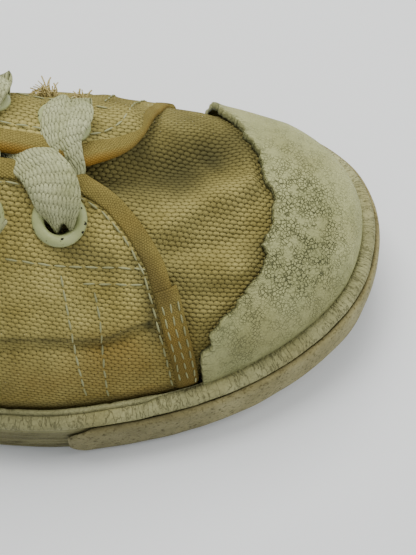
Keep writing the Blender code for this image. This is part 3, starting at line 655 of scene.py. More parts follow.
def finish(bm, name, look, nodes=(), closed=True, wall=0.0, lining=None):
    """Make a piece of the mesh, on the shoe's one body, for the nodes that it stands for."""
    bmesh.ops.remove_doubles(bm, verts=bm.verts, dist=MERGE)
    if closed:
        bmesh.ops.holes_fill(bm, edges=bm.edges, sides=0)
        bmesh.ops.recalc_face_normals(bm, faces=bm.faces)
    mesh = bpy.data.meshes.new(name)
    bm.to_mesh(mesh)
    bm.free()
    made = put(name, mesh)
    mesh.materials.append(look)
    mesh.shade_smooth()
    if wall:
        thick = made.modifiers.new("wall", "SOLIDIFY")
        thick.thickness = wall
        thick.offset = -1
        if lining:
            mesh.materials.append(lining)
            thick.material_offset = 1
    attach(made, "root")
    if nodes:
        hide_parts(*nodes)


def arc_table():
    """Length from the crown line down to each height share, for every turn, in mm."""
    turns = np.linspace(0.0, math.pi, ARC_ROWS)
    heights = np.linspace(-SKIRT_END, SKIRT_END, 2 * ARC_HALF + 1)
    grid_t, grid_v = np.meshgrid(turns, heights, indexing="ij")
    points = bare_last(grid_t.ravel(), grid_v.ravel()).reshape(*grid_t.shape, 3)
    step = np.linalg.norm(np.diff(points, axis=1), axis=-1)
    way = np.concatenate([np.zeros((ARC_ROWS, 1)), np.cumsum(step, axis=1)], axis=1)
    return (way - way[:, ARC_HALF:ARC_HALF + 1]) / MM


ARC_ROWS, ARC_HALF = 120, 66
ARC = arc_table()


def cloth_mm(p, turn, v):
    """Cloth coordinates of points on the last: along the shoe, and down from the crown."""
    i = np.clip(turn / math.pi * (ARC_ROWS - 1), 0, ARC_ROWS - 1.001)
    j = np.clip((v + SKIRT_END) / SKIRT_END * ARC_HALF, 0, 2 * ARC_HALF - 0.001)
    a, b = i.astype(int), j.astype(int)
    f, g = i - a, j - b
    near = ARC[a, b] * (1 - g) + ARC[a, b + 1] * g
    far = ARC[a + 1, b] * (1 - g) + ARC[a + 1, b + 1] * g
    return np.column_stack([p[:, 0] / MM, near * (1 - f) + far * f])


# Edges of the quarters

def throat_half(x):
    front, top = along(THROAT_FRONT), along(FACING_TOP)
    t = np.clip((front - x) / (front - top), 0.0, 1.2) ** 2.0
    return THROAT_HALF_FRONT + (THROAT_HALF_TOP - THROAT_HALF_FRONT) * t


def edge_x(side, y):
    return np.interp(np.abs(y) / MM, QUARTER_EDGE[side][:, 0], QUARTER_EDGE[side][:, 1]) * MM


def first_past(values, past, otherwise):
    return values[np.argmax(past)] if past.any() else otherwise


def top_table(side):
    """Height share of a quarter's top edge at each share of the length."""
    shares = np.linspace(0.0, 0.83, 420)
    heights = np.linspace(1.0, 0.0, 700) * side
    tops = []
    for share in shares:
        p = bare_last(np.full(heights.shape, float(turn_of(share))), heights)
        here = share_at(p[:, 0])
        collar = np.interp(here, COLLAR[:, 0], COLLAR[:, 1]) * HEEL_HEIGHT
        in_throat = (here > COLLAR[7, 0]) & (p[:, 1] * side < throat_half(p[:, 0]))
        tops.append(first_past(heights, (p[:, 2] > collar) | in_throat, 0.0))
    return shares, np.array(tops)


def front_table(side):
    """Share of the length of a quarter's front edge at each height share."""
    heights = np.linspace(0.0, 1.0, 240) * side
    shares = np.linspace(0.60, 0.90, 600)
    fronts = []
    for v in heights:
        p = bare_last(turn_of(shares), np.full(shares.shape, v))
        fronts.append(first_past(shares, p[:, 0] > edge_x(side, p[:, 1]), 0.82))
    return np.abs(heights), np.convolve(np.pad(fronts, 7, mode="edge"), np.ones(15) / 15, mode="valid")


TOPS = {side: top_table(side) for side in (-1, 1)}
FRONTS = {side: front_table(side) for side in (-1, 1)}


def on_quarter(side, a, r):
    """Turn and height share on a quarter: a from heel to front edge, r from skirt to top."""
    share = a * 0.75
    skirt = side * SKIRT_END
    for _ in range(14):
        v = skirt + r * (np.interp(share, *TOPS[side]) - skirt)
        share = a * np.interp(np.clip(np.abs(v), 0, 1), *FRONTS[side])
    return turn_of(share), v


def quarter_rise(side, turn, v):
    """How far a quarter stands over the vamp's surface, with its pleats and its puff."""
    p = bare_last(turn, v)
    share = share_of(turn)
    rise = QUARTER_STEP + folded(p, QUARTER_FOLDS if side < 0 else FAR_FOLDS)
    soft = rough(p, 0.014, 2.0 + side) * QUARTER_SAG * (1 - ramp(0.8, 1.0, np.abs(v)))
    if side > 0:
        puff = FAR_PUFF * ramp(0.50, 0.63, share) * (1 - ramp(0.20, 0.50, v))
    else:
        puff = NEAR_PUFF * ramp(0.55, 0.66, share) * (1 - ramp(0.25, 0.75, -v))
    return rise + puff + soft


def canvas_paint(points, flat):
    """Dirt and rust on the canvas, most of it low down; painted shade in the pleat and in the vamp's hollow
    between and before the facings.
    """
    x, y, z = points.T / MM
    foot = 1 - ramp(15.5, 17.5, z - lift(share_at(points[:, 0])) / MM)
    low = (1 - ramp(22, 36, z)) * (1 - ramp(58, 62, x))
    dirt = near_lines(x, y, CANVAS_DIRT_AND_SHADE) + 0.35 * foot + 0.22 * blots(points, 0.006, 5.0) + 0.22 * low
    # darker on the inner side, over its quarter and over the vamp in front of it
    dirt = dirt + 0.28 * ramp(4, 9, y) * (1 - ramp(50, 56, x)) + 0.16 * ramp(3, 12, y) * ramp(50, 58, x)
    rust = 0.40 * blots(points, 0.009, 8.0) * (1 - ramp(20, 34, z)) + 0.15 * low
    return {"dirt": dirt, "rust": rust + near_lines(x, y, CANVAS_RUST)}


def vamp_paint(points, flat):
    """The vamp is greyer than the quarters all over, with painted shade along its deep trough."""
    paint = canvas_paint(points, flat)
    x, y = points[:, 0] / MM, points[:, 1] / MM
    # greyer tone all over, plus painted shade along the trough VAMP_FOLDS[2]
    paint["dirt"] = paint["dirt"] + 0.33 + 0.08 * near_line(x, y, VAMP_FOLDS[2][0], 4.5)
    paint["rust"] = paint["rust"] * 0.6
    return paint


def make_vamp():
    """One piece of canvas from under the quarters to under the cap, with its worn folds."""
    def place(s, t):
        turn = turn_of(VAMP_RUN[0] + (VAMP_RUN[1] - VAMP_RUN[0]) * s)
        v = SKIRT_END * (2 * t - 1)
        p = bare_last(turn, v)
        rise = folded(p, VAMP_FOLDS) * (1 - ramp(0.80, 1.0, np.abs(v)))
        rise = rise + rough(p, 0.011, 4.0) * VAMP_SAG
        edge = np.where(p[:, 1] < 0, edge_x(-1, p[:, 1]), edge_x(1, p[:, 1]))
        rise = rise - UNDER_QUARTER * (1 - ramp(-0.004, 0.0005, p[:, 0] - edge))
        throat = (1 - ramp(0.70, 0.76, share_of(turn))) * (1 - ramp(0.003, 0.012, np.abs(p[:, 1])))
        rise = rise - UNDER_THROAT * throat
        under_cap = ramp(-0.0035, 0.0002, p[:, 0] - tear_x(p[:, 1]))
        rise = rise * (1 - under_cap) - UNDER_CAP * under_cap
        return last(turn, v, rise), cloth_mm(p, turn, v)

    bm = fresh()
    lay_grid(bm, 170, 220, place, vamp_paint)
    finish(bm, "vamp_canvas", CANVAS, closed=False, wall=VAMP_WALL, lining=LINING)


def make_quarter(side, name, nodes=()):
    """A quarter with an open hole under each of its eyelets."""
    def place(s, t):
        s = s + 0.35 * s * (1 - s)
        turn, v = on_quarter(side, s, t if side < 0 else 1 - t)
        return last(turn, v, quarter_rise(side, turn, v)), cloth_mm(bare_last(turn, v), turn, v)

    bm = fresh()
    lay_grid(bm, 225, 190, place, canvas_paint)
    for number in range(1, EYELET_PAIRS + 1):
        centre = Vector(eyelet_place(side, number)[0])
        gone = [f for f in bm.faces if (f.calc_center_median() - centre).length < EYELET_HOLE]
        bmesh.ops.delete(bm, geom=gone, context="FACES")
    finish(bm, name, CANVAS, nodes, closed=False, wall=QUARTER_WALL, lining=LINING)


def make_tongue():
    """Soft tongue under the laces, its top edge standing free."""
    def place(s, t):
        share = TONGUE[0, 0] + (TONGUE[-1, 0] - TONGUE[0, 0]) * s
        half = np.interp(share, TONGUE[:, 0], TONGUE[:, 1]) * BALL_WIDTH
        x, y = along(share), (2 * t - 1) * half
        turn, v = height_share(x, y)
        p = bare_last(turn, v)
        rise = rough(p, 0.010, 6.0) * TONGUE_SAG - TONGUE_SINK - TONGUE_DIVE * ramp(0.60, 0.70, share)
        return last(turn, v, rise), np.column_stack([p[:, 0], y]) / MM

    bm = fresh()
    lay_grid(bm, 110, 50, place, canvas_paint)
    finish(bm, "tongue_canvas", CANVAS, ["tongue"], closed=False, wall=TONGUE_WALL, lining=LINING)


def tear_x(y):
    """The cap's torn edge with its small teeth."""
    base = np.interp(y / BALL_WIDTH, TEAR[:, 0], TEAR[:, 1])
    where = np.column_stack([y, np.zeros_like(y), np.zeros_like(y)])
    return along(base) + sum(rough(where, size, seed) * depth for size, seed, depth in TEETH)


def tear_table():
    heights = np.linspace(-1.0, 1.0, 1201)
    shares = np.linspace(0.78, 0.905, 500)
    found = []
    for v in heights:
        p = bare_last(turn_of(shares), np.full(shares.shape, v))
        found.append(first_past(shares, p[:, 0] > tear_x(p[:, 1]), shares[-1]))
    return heights, np.array(found)


TEARS = tear_table()


def cap_paint(points, flat):
    x, y, z = points.T / MM
    back = flat[:, 0]
    crackle = near_lines(x, y, CAP_CRACKLE) + 0.35 * np.exp(-back / 0.05) + 0.08
    # painted shade: the folded-down torn rim is darkened as the shadow line under the torn edge
    dirt = 0.20 * blots(points, 0.007, 11.0) + 0.75 * (1 - ramp(0.0, 0.035, back))
    # painted shade: darker low on the cap and on its inner side, which faces the top lamp
    dirt = dirt + 0.20 * (1 - ramp(17, 27, z)) + 0.10 * crackle + 0.12 * ramp(4, 20, y)
    return {"crackle": crackle, "dirt": dirt, "rust": 0.25 * blots(points, 0.010, 13.0),
            "split": 0.9 * (1 - ramp(0.04, 0.11, back))}


def make_cap():
    """Moulded toe cap: smooth dome, torn back edge with its thickness showing."""
    def place(s, t):
        v = -1.0 + 2.0 * t
        start = turn_of(np.interp(v, *TEARS))
        ahead = np.clip((s - CAP_RIM) / (1 - CAP_RIM), 0, 1)
        turn = start + (math.pi - start) * ahead**1.15
        p = bare_last(turn, v)
        curl = np.exp(-ahead / 0.05) * (CAP_CURL + CAP_CURL_WAVE * rough(p, 0.008, 1.0))
        far = near_line(p[:, 0] / MM, p[:, 1] / MM, CAP_LOOSE, 4.0)
        rise = CAP_STEP + curl + CAP_LOOSE_LIFT * far * np.exp(-ahead / 0.10)
        rise = rise - (CAP_STEP + CAP_TUCK) * (1 - np.clip(s / CAP_RIM, 0, 1)) ** 0.6
        rise = rise + CAP_SPREAD * ramp(0.88, 0.99, np.abs(v))
        placed = last(turn, v, rise)
        placed[:, 2] -= CAP_DROP * ramp(0.965, 1.0, np.abs(v))
        return placed, cloth_mm(p, turn, v)[:, ::-1]

    bm = fresh()
    lay_grid(bm, 125, 340, place, cap_paint)
    bmesh.ops.remove_doubles(bm, verts=bm.verts, dist=CAP_MERGE)
    finish(bm, "toe_cap_rubber", CAP_RUBBER, ["toe_cap"], closed=False)


# Section of the side band: share of its depth inward, share of its height
BAND_SECTION = (
    (0.14, 0.00), (0.02, 0.05), (0.00, 0.14), (0.01, 0.30), (0.00, 0.42), (0.02, 0.52), (0.01, 0.60),
    (0.03, 0.68), (0.05, 0.735), (0.11, 0.760), (0.06, 0.785), (0.04, 0.815), (0.07, 0.850), (0.14, 0.882),
    (0.27, 0.910), (0.45, 0.925), (0.64, 0.930), (0.735, 0.920), (0.76, 0.895))
# The cream strip on its ledge, whose height is cut down where it has crumbled
BAND_LIP = ((0.765, 0.968), (0.80, 0.996), (0.90, 1.0), (1.0, 0.985))
BAND_RING = BAND_SECTION + BAND_LIP + ((1.0, 0.0),) + BAND_SECTION[:1]
BAND_GIRTH_MM, BAND_RING_MM = 480.0, 26.0


def band_paint(points, flat):
    height = (points[:, 2] - lift(share_at(points[:, 0]))) / BAND_HEIGHT
    ledge = ramp(0.74, 0.79, height)
    left = 1 - ramp(34, 48, points[:, 0] / MM)
    lip = ramp(0.955, 0.985, height)
    side = 1 - ramp(0.70, 0.76, height)
    dirt = 0.40 * side * left + 0.14 * side + 0.12 * blots(points, 0.006, 15.0) + 0.20 * ledge * left
    dirt = dirt * (1 - lip) + 0.4 * np.exp(-((height - 0.765) / 0.015) ** 2)
    rust = 0.15 * side + 0.25 * blots(points, 0.009, 17.0) * (1 - lip)
    return {"dirt": dirt, "rust": rust, "split": 0.75 * ledge * (1 - 0.5 * lip), "wrinkle": side * 0.9,
            "crackle": 0.25 * ledge}


def make_band():
    """Laminated side band: ledge with cross cracks, crumbled cream strip, wrinkled wall."""
    def place(s, t):
        turn = 2 * math.pi * s
        share = share_of(turn)
        sunk = ramp(*RECESS_RUN, share) * BUMPER_RECESS
        gone = ramp(*LIP_END, share)
        flat = np.column_stack([outline(turn), np.zeros_like(turn)])
        chips = np.clip(rough(flat, 0.0016, 21.0) * 1.5 - 0.45, 0, 1) * ramp(0.52, 0.60, share) * 0.9
        top = 1.0 - np.maximum(gone, chips) * LIP_HEIGHT / BAND_HEIGHT
        j = np.rint(t * (len(BAND_RING) - 1)).astype(int)
        inward, up = np.array(BAND_RING)[j].T
        on_lip = (j >= len(BAND_SECTION)) & (j < len(BAND_SECTION + BAND_LIP))
        up = np.where(on_lip, up * top, up)
        near_cap = (inward > 0.70) & (inward < 0.95)
        inward = np.where(near_cap, 1 - (1 - inward) * (1 - 0.75 * gone), inward)
        side = (up < 0.70) & (up > 0.02)
        wave = rough(np.column_stack([flat[:, 0] * 0.12, flat[:, 1] * 0.12, up * 0.012]), 0.0016, 23.0)
        depth = inward * BAND_DEPTH + sunk * (up < 0.74) - wave * BAND_WRINKLE * side
        wave = rough(np.column_stack([flat[:, :2], up * 0.01]), 0.004, 25.0)
        depth = depth - BAND_WAVE * wave * (up > 0.5)
        xy = rim(turn, depth)
        z = BAND_FLOOR_GAP + up * (BAND_HEIGHT - BAND_FLOOR_GAP) + lift(share)
        return np.column_stack([xy, z]), np.column_stack([s * BAND_GIRTH_MM, t * BAND_RING_MM])

    bm = fresh()
    lay_grid(bm, 760, len(BAND_RING) - 1, place, band_paint)
    finish(bm, "side_band_rubber", BAND_RUBBER, ["side_band"])


# Section of the toe bumper: share of its thickness outward, share of its height
BUMPER_SECTION = (
    (0.00, 0.00), (0.45, 0.0), (0.80, 0.03), (0.97, 0.10), (1.00, 0.20), (1.00, 0.36), (0.99, 0.54),
    (0.965, 0.70), (0.90, 0.82), (0.76, 0.91), (0.55, 0.965), (0.25, 1.0), (0.00, 0.98), (0.00, 0.00))
BUMPER_GIRTH_MM, BUMPER_RING_MM = 260.0, 22.0


def bumper_paint(points, flat):
    height = (points[:, 2] - lift(share_at(points[:, 0]))) / BUMPER_TOP
    left = (1 - ramp(46, 74, points[:, 0] / MM)) * (points[:, 1] < 0)
    cloud = blots(points, 0.004, 31.0)
    dirt = 0.30 * blots(points, 0.0022, 33.0) + 0.30 * (1 - ramp(0.05, 0.3, height))
    dirt = dirt + 0.45 * ramp(0.95, 1.0, height) + 0.40 * left
    rust = 0.30 * ramp(0.86, 0.98, height) + 0.10 * cloud
    return {"rust": rust, "dirt": dirt, "crackle": 0.2 + 0.3 * cloud}


def make_bumper():
    """Outer wrap round the toe, rubbed smooth, its upper edge yellowed with old glue."""
    start = float(turn_of(BUMPER_START))

    def place(s, t):
        turn = start + (2 * math.pi - 2 * start) * s
        share = share_of(turn)
        grow = np.sqrt(np.clip((share - BUMPER_START + 0.0012) / BUMPER_TAPER, 0, 1))
        j = np.rint(t * (len(BUMPER_SECTION) - 1)).astype(int)
        outward, up = np.array(BUMPER_SECTION)[j].T
        flat = np.column_stack([outline(turn), up * 0.01])
        inset = BUMPER_RECESS - BUMPER_BACK - outward * BUMPER_THICK * (0.35 + 0.65 * grow)
        level = BUMPER_BASE + (BUMPER_TOP - BUMPER_BASE) * (0.5 + (up - 0.5) * (0.3 + 0.7 * grow))
        level = level + rough(flat, 0.006, 35.0) * BUMPER_EDGE_WAVE * (up > 0.9)
        inset = inset - BUMPER_RECESS * (1 - ramp(*RECESS_RUN, share))
        inset = inset - rough(flat, 0.005, 37.0) * BUMPER_WAVE * outward
        cloth = np.column_stack([s * BUMPER_GIRTH_MM, t * BUMPER_RING_MM])
        return np.column_stack([rim(turn, inset), level + lift(share)]), cloth

    bm = fresh()
    lay_grid(bm, 420, len(BUMPER_SECTION) - 1, place, bumper_paint)
    finish(bm, "toe_bumper_rubber", BUMPER_RUBBER, ["toe_bumper"])


def make_insole():
    """Flat sock of lining drill, pressed to the foot's shape."""
    def place(s, t):
        turn = math.pi * (0.002 + 0.996 * s)
        inset = np.full(turn.shape, BAND_DEPTH + SOCK_GAP)
        outer, inner = rim(turn, inset), rim(2 * math.pi - turn, inset)
        xy = outer + (inner - outer) * t[:, None]
        dish = SOCK_DISH * np.sin(math.pi * t)
        z = OUTSOLE_TOP + SOLE_GAP + INSOLE_THICK + lift(share_of(turn)) - dish
        return np.column_stack([xy, z]), xy / MM

    def paint(points, flat):
        worn = near_lines(points[:, 0] / MM, points[:, 1] / MM, SOCK_WEAR)
        return {"dirt": worn, "rust": 0.3 * blots(points, 0.01, 41.0)}

    bm = fresh()
    lay_grid(bm, 120, 50, place, paint)
    finish(bm, "insole_drill", LINING, ["insole"], closed=False, wall=SOCK_WALL)


# Strips, laces and stitches swept along lines

def sweep(bm, path, across, up, section, paint=None, scale=None):
    """Sweep a closed section, given in metres across and up, along a path."""
    ring = np.vstack([section, section[:1]])
    size = np.ones((len(path), 2)) if scale is None else scale
    length, girth = way_along(path) / MM, way_along(ring) / MM

    def place(s, t):
        i = np.rint(s * (len(path) - 1)).astype(int)
        j = np.rint(t * (len(ring) - 1)).astype(int)
        side, rise = (ring[j] * size[i]).T[:, :, None]
        return path[i] + across[i] * side + up[i] * rise, np.column_stack([length[i], girth[j]])

    lay_grid(bm, len(path) - 1, len(ring) - 1, place, paint)


def edge_path(side, part, count):
    """The whole bound edge of a quarter or part of its front: points, ways inward and up."""
    if part == "bound":
        a = np.concatenate([np.linspace(0.0, 1.0, 900), np.ones(500)])
        r = np.concatenate([np.ones(900), np.linspace(1.0, 0.085, 500)])
    else:
        low, high = part
        r = np.linspace(high, low, 300)
        a = np.ones(300)
    turn, v = on_quarter(side, a, r)
    p = last(turn, v, quarter_rise(side, turn, v))
    both = even(np.column_stack([p, last_normal(turn, v)]), count * 4)
    kernel = np.ones(9) / 9
    padded = np.vstack([np.repeat(both[:1], 4, 0), both, np.repeat(both[-1:], 4, 0)])
    smooth = even(np.column_stack([np.convolve(column, kernel, mode="valid") for column in padded.T]), count)
    ahead = unit(np.gradient(smooth[:, :3], axis=0))
    across = unit(np.cross(unit(smooth[:, 3:]), ahead))
    return smooth[:, :3], across * side, np.cross(ahead, across)


# Sections of the tapes in mm: in over the cloth from its edge, up from its face
BINDING = np.array([
    (3.3, -0.15), (3.25, 0.22), (2.9, 0.36), (1.9, 0.44), (0.9, 0.46), (0.1, 0.36), (-0.35, 0.0),
    (-0.5, -0.6), (-0.35, -1.2), (0.2, -1.65), (1.4, -1.8), (2.7, -1.75), (2.8, -1.3)]) * MM
ROLLED = np.array([
    (3.2, -0.2), (3.1, 0.18), (2.6, 0.30), (1.7, 0.36), (0.8, 0.34), (0.0, 0.16), (-0.55, -0.35),
    (-0.75, -1.0), (-0.6, -1.7), (-0.1, -2.2), (0.7, -2.4), (1.9, -2.3), (2.8, -1.9), (3.0, -1.0)]) * MM
TAPE = np.array([
    (3.1, -0.1), (3.05, 0.46), (2.7, 0.60), (1.4, 0.66), (0.0, 0.64), (-0.9, 0.50), (-1.35, 0.10),
    (-1.4, -0.65), (-0.9, -0.8), (1.5, -0.8)]) * MM
STAY = np.array([
    (4.6, -1.4), (4.6, -0.25), (3.4, 0.35), (1.6, 0.62), (0, 0.7), (-1.6, 0.62), (-3.4, 0.35),
    (-4.6, -0.25), (-4.6, -1.4)]) * MM


def tape_paint(points, flat):
    x, y, z = points.T / MM
    dirt = 0.30 * blots(points, 0.005, 51.0) + 0.3 * (1 - ramp(18, 32, z))
    dirt = dirt + 0.6 * near_line(x, y, ((52, -13), (56, -18)), 2.2)
    rust = 0.20 * blots(points, 0.006, 53.0) + 0.30 * near_line(x, y, ((58, -24), (61, -28)), 3.0)
    return {"dirt": dirt, "rust": rust}


def rolled_paint(points, flat):
    """The inner side's tape kept its tan where it is rolled under, out of the light."""
    paint = tape_paint(points, flat)
    under = ramp(0.28, 0.42, flat[:, 1])
    paint["rust"] = paint["rust"] + 0.95 * under * (1 - 0.7 * ramp(44, 52, points[:, 0] / MM))
    return paint


def make_bindings():
    """The tape folded over each quarter's edge, rolled thin where the inner one has come loose."""
    for side, name, section, paint in (
            (-1, "binding_outer", BINDING, tape_paint), (1, "binding_inner", ROLLED, rolled_paint)):
        path, inward, up = edge_path(side, "bound", 420)
        scale = np.ones((len(path), 2))
        if side > 0:
            slim = 1 - ramp(0.40, 0.52, share_at(path[:, 0]))
            thin = ramp(44, 54, path[:, 0] / MM)
            scale = np.column_stack([1 - 0.45 * thin, 1 - 0.35 * slim - 0.50 * thin])
        bm = fresh()
        sweep(bm, path, inward, up, section, paint, scale)
        finish(bm, name, TWILL)


def make_tapes():
    """Seam tapes at the front of the quarters, and the stay over the heel seam."""
    for side, name, top in ((-1, "seam_tape_outer", 0.66), (1, "seam_tape_inner", 0.32)):
        path, inward, up = edge_path(side, (0.075, top), 120)
        bm = fresh()
        sweep(bm, path, inward, up, TAPE, tape_paint)
        finish(bm, name, TWILL)
    turn, v = on_quarter(-1, np.full(120, 1e-4), np.linspace(0.08, 1.0, 120))
    path = last(turn, v, np.full(120, QUARTER_STEP))
    path[:, 1] = 0.0
    across = np.tile([[0.0, 1.0, 0.0]], (120, 1))
    up = np.cross(across, unit(np.gradient(path, axis=0)))
    up *= np.sign(-up[:, :1])
    bm = fresh()
    sweep(bm, path, across, up, STAY, tape_paint)
    finish(bm, "back_stay", TWILL)


def stitch_line(bm, path, normal, length, gap, thick):
    """Single stitches along a line, each dipping into the cloth at its ends."""
    way = way_along(path)
    at = gap
    while at + length < way[-1]:
        spots = [at, at + length]
        ends = [Vector([np.interp(w, way, path[:, k]) for k in range(3)]) for w in spots]
        up = Vector([np.interp(at + length / 2, way, normal[:, k]) for k in range(3)]).normalized()
        ahead = (ends[1] - ends[0]).normalized()
        side = up.cross(ahead).normalized()
        up = ahead.cross(side)
        skew = RNG.uniform(-0.10, 0.10)
        basis = Matrix((ahead + side * skew, side, up)).transposed().to_4x4()
        middle = (ends[0] + ends[1]) / 2 + up * thick * 0.15
        size = Matrix.Diagonal((length * RNG.uniform(0.46, 0.54), thick * 0.62, thick * 0.5, 1.0))
        bmesh.ops.create_uvsphere(bm, u_segments=6, v_segments=6, radius=1.0,
                                  matrix=Matrix.Translation(middle) @ basis @ size @ ON_SIDE)
        at += length + gap * RNG.uniform(0.8, 1.2)


RNG = random.Random(7)
ON_SIDE = Matrix.Rotation(math.pi / 2, 4, "Y")

# Stitch rows on the outer quarter, in millimetres seen from above
STITCH_ROWS = (
    ((27.5, -14.4), (36.3, -14.4), (46, -13.6), (55.2, -12.9)),
    ((41, -16.3), (47, -15.9), (53, -15.4)),
    ((37.6, -15.2), (38.6, -19.5), (39.6, -24), (40.6, -28), (41.7, -31.4)),
    ((43.6, -16.8), (44.6, -20.5), (45.0, -24), (45.3, -28), (45.6, -30.7)),
)


def plan_line(side, points, count, rise):
    line = smooth_line(np.asarray(points, dtype=float) * MM, count)
    turn, v = height_share(line[:, 0], line[:, 1])
    return last(turn, v, quarter_rise(side, turn, v) + rise), last_normal(turn, v)


STITCH, STITCH_GAP, STITCH_THICK = 0.0024, 0.0005, 0.00034
TAPE_STITCH, TAPE_STITCH_THICK, EDGE_STITCH_GAP = 0.0021, 0.00030, 0.0006


def make_stitches():
    bm = fresh()
    for row in STITCH_ROWS:
        stitch_line(bm, *plan_line(-1, row, 60, 0.0), STITCH, STITCH_GAP, STITCH_THICK)
    for row in STITCH_ROWS[:1] + STITCH_ROWS[2:]:
        mirrored = [(x, -y) for x, y in row if x < 50]
        stitch_line(bm, *plan_line(1, mirrored, 60, STITCH_LIFT), STITCH, STITCH_GAP, STITCH_THICK)
    for side, off_edge, top in ((-1, 0.0040, 0.62), (1, 0.0044, 0.27)):
        path, inward, up = edge_path(side, "bound", 420)
        line = path + inward * off_edge + up * STITCH_LIFT
        stitch_line(bm, line, up, STITCH, EDGE_STITCH_GAP, STITCH_THICK)
        path, inward, up = edge_path(side, (0.09, top), 120)
        for off in (-0.0006, 0.0009, 0.0024):
            line = path + inward * off + up * TAPE_FACE
            stitch_line(bm, line, up, TAPE_STITCH, EDGE_STITCH_GAP, TAPE_STITCH_THICK)
    finish(bm, "seam_stitches", THREAD)


# How far the cloth has crept with its eyelets on each side
EYELET_SHIFT = {-1: (0.0005, 0.0012, 0.0), 1: (0.0, -0.0011, 0.0)}
# Profile of an eyelet: radius and height in millimetres
EYELET_PROFILE = (
    (2.75, -1.9), (2.78, -0.4), (2.85, 0.25), (3.05, 0.62), (3.45, 0.88), (3.95, 0.92), (4.45, 0.76),
    (4.85, 0.42), (5.0, 0.06), (4.8, -0.12), (4.0, -0.15), (3.35, -0.2), (3.2, -0.6), (3.15, -1.9))


def eyelet_place(side, number):
    low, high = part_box("eyelet_%s_%d" % ("outer" if side < 0 else "inner", number))
    middle = np.array((low + high) / 2)
    turn, v = height_share(middle[:1], middle[1:2])
    over = (middle - bare_last(turn, v)[0]) @ last_normal(turn, v)[0]
    foot = middle - last_normal(turn, v)[0] * over + np.array(EYELET_SHIFT[side])
    turn, v = height_share(foot[:1], foot[1:2])
    rise = quarter_rise(side, turn, v)
    return last(turn, v, rise)[0], last_normal(turn, v)[0]


def make_eyelets():
    for side, word in ((-1, "outer"), (1, "inner")):
        for number in range(1, EYELET_PAIRS + 1):
            bm = fresh()
            verts = [bm.verts.new((r * MM, 0, z * MM)) for r, z in EYELET_PROFILE]
            edges = [bm.edges.new((a, b)) for a, b in zip(verts, verts[1:] + verts[:1])]
            bmesh.ops.spin(bm, geom=verts + edges, cent=(0, 0, 0), axis=(0, 0, 1), angle=2 * math.pi,
                           steps=48, use_merge=True, use_duplicate=False)
            centre, normal = eyelet_place(side, number)
            turn = Vector((0, 0, 1)).rotation_difference(Vector(normal)).to_matrix().to_4x4()
            bmesh.ops.transform(bm, matrix=Matrix.Translation(Vector(centre)) @ turn, verts=bm.verts)
            name = "eyelet_%s_%d" % (word, number)
            finish(bm, "enamel_" + name, ENAMEL, [name])


# Laces. Each ribbon's line: mm forward of its own eyelet, place across as a share of the way
# from the middle to the eyelets, mm over the cloth, width in mm, turn of its width in degrees
NEAR_RUN = (
    (0.0, -1.00, -4.6, 4.0, 0), (0.0, -0.98, -0.4, 4.8, 4), (-0.1, -0.88, 1.8, 6.4, 8),
    (-0.4, -0.70, 2.9, 8.0, 12), (-1.0, -0.48, 3.1, 8.8, 18), (-2.1, -0.27, 2.8, 9.0, 30),
    (-3.8, -0.10, 2.1, 8.6, 46), (-6.0, 0.03, 1.0, 8.0, 58), (-8.2, 0.15, -0.5, 7.4, 60),
    (-10.2, 0.32, -1.8, 6.8, 52), (-12.2, 0.60, -2.0, 6.2, 40), (-13.4, 0.90, -2.0, 5.2, 30),
    (-14.0, 1.00, -0.6, 4.6, 30))
FAR_RUN = (
    (0.2, 1.00, -4.0, 4.8, 0), (0.2, 1.04, 0.2, 6.4, 0), (0.2, 1.22, 1.5, 7.2, -4),
    (0.1, 1.30, 2.4, 7.0, -10), (0.0, 1.14, 3.0, 8.4, -16), (-0.4, 0.88, 3.0, 9.0, -18),
    (-1.2, 0.60, 2.4, 8.2, -14), (-1.4, 0.34, 1.4, 7.2, 0), (-0.8, 0.12, 0.0, 6.6, 8),
    (-0.6, -0.08, -2.0, 6.4, 0), (-4.0, -0.32, -3.4, 6.2, -20), (-8.5, -0.62, -3.4, 6.0, -30),
    (-12.4, -0.90, -2.2, 5.4, -30), (-14.0, -1.00, -0.6, 4.6, -30))
LACE_WIDTH = 0.0096
LACE_THICK = 0.0012
LEAN = 0.36                # the instep's slope carries a raised lace forward; this takes it back
SMALL = 1e-6               # keeps degrees from counting as length in a line


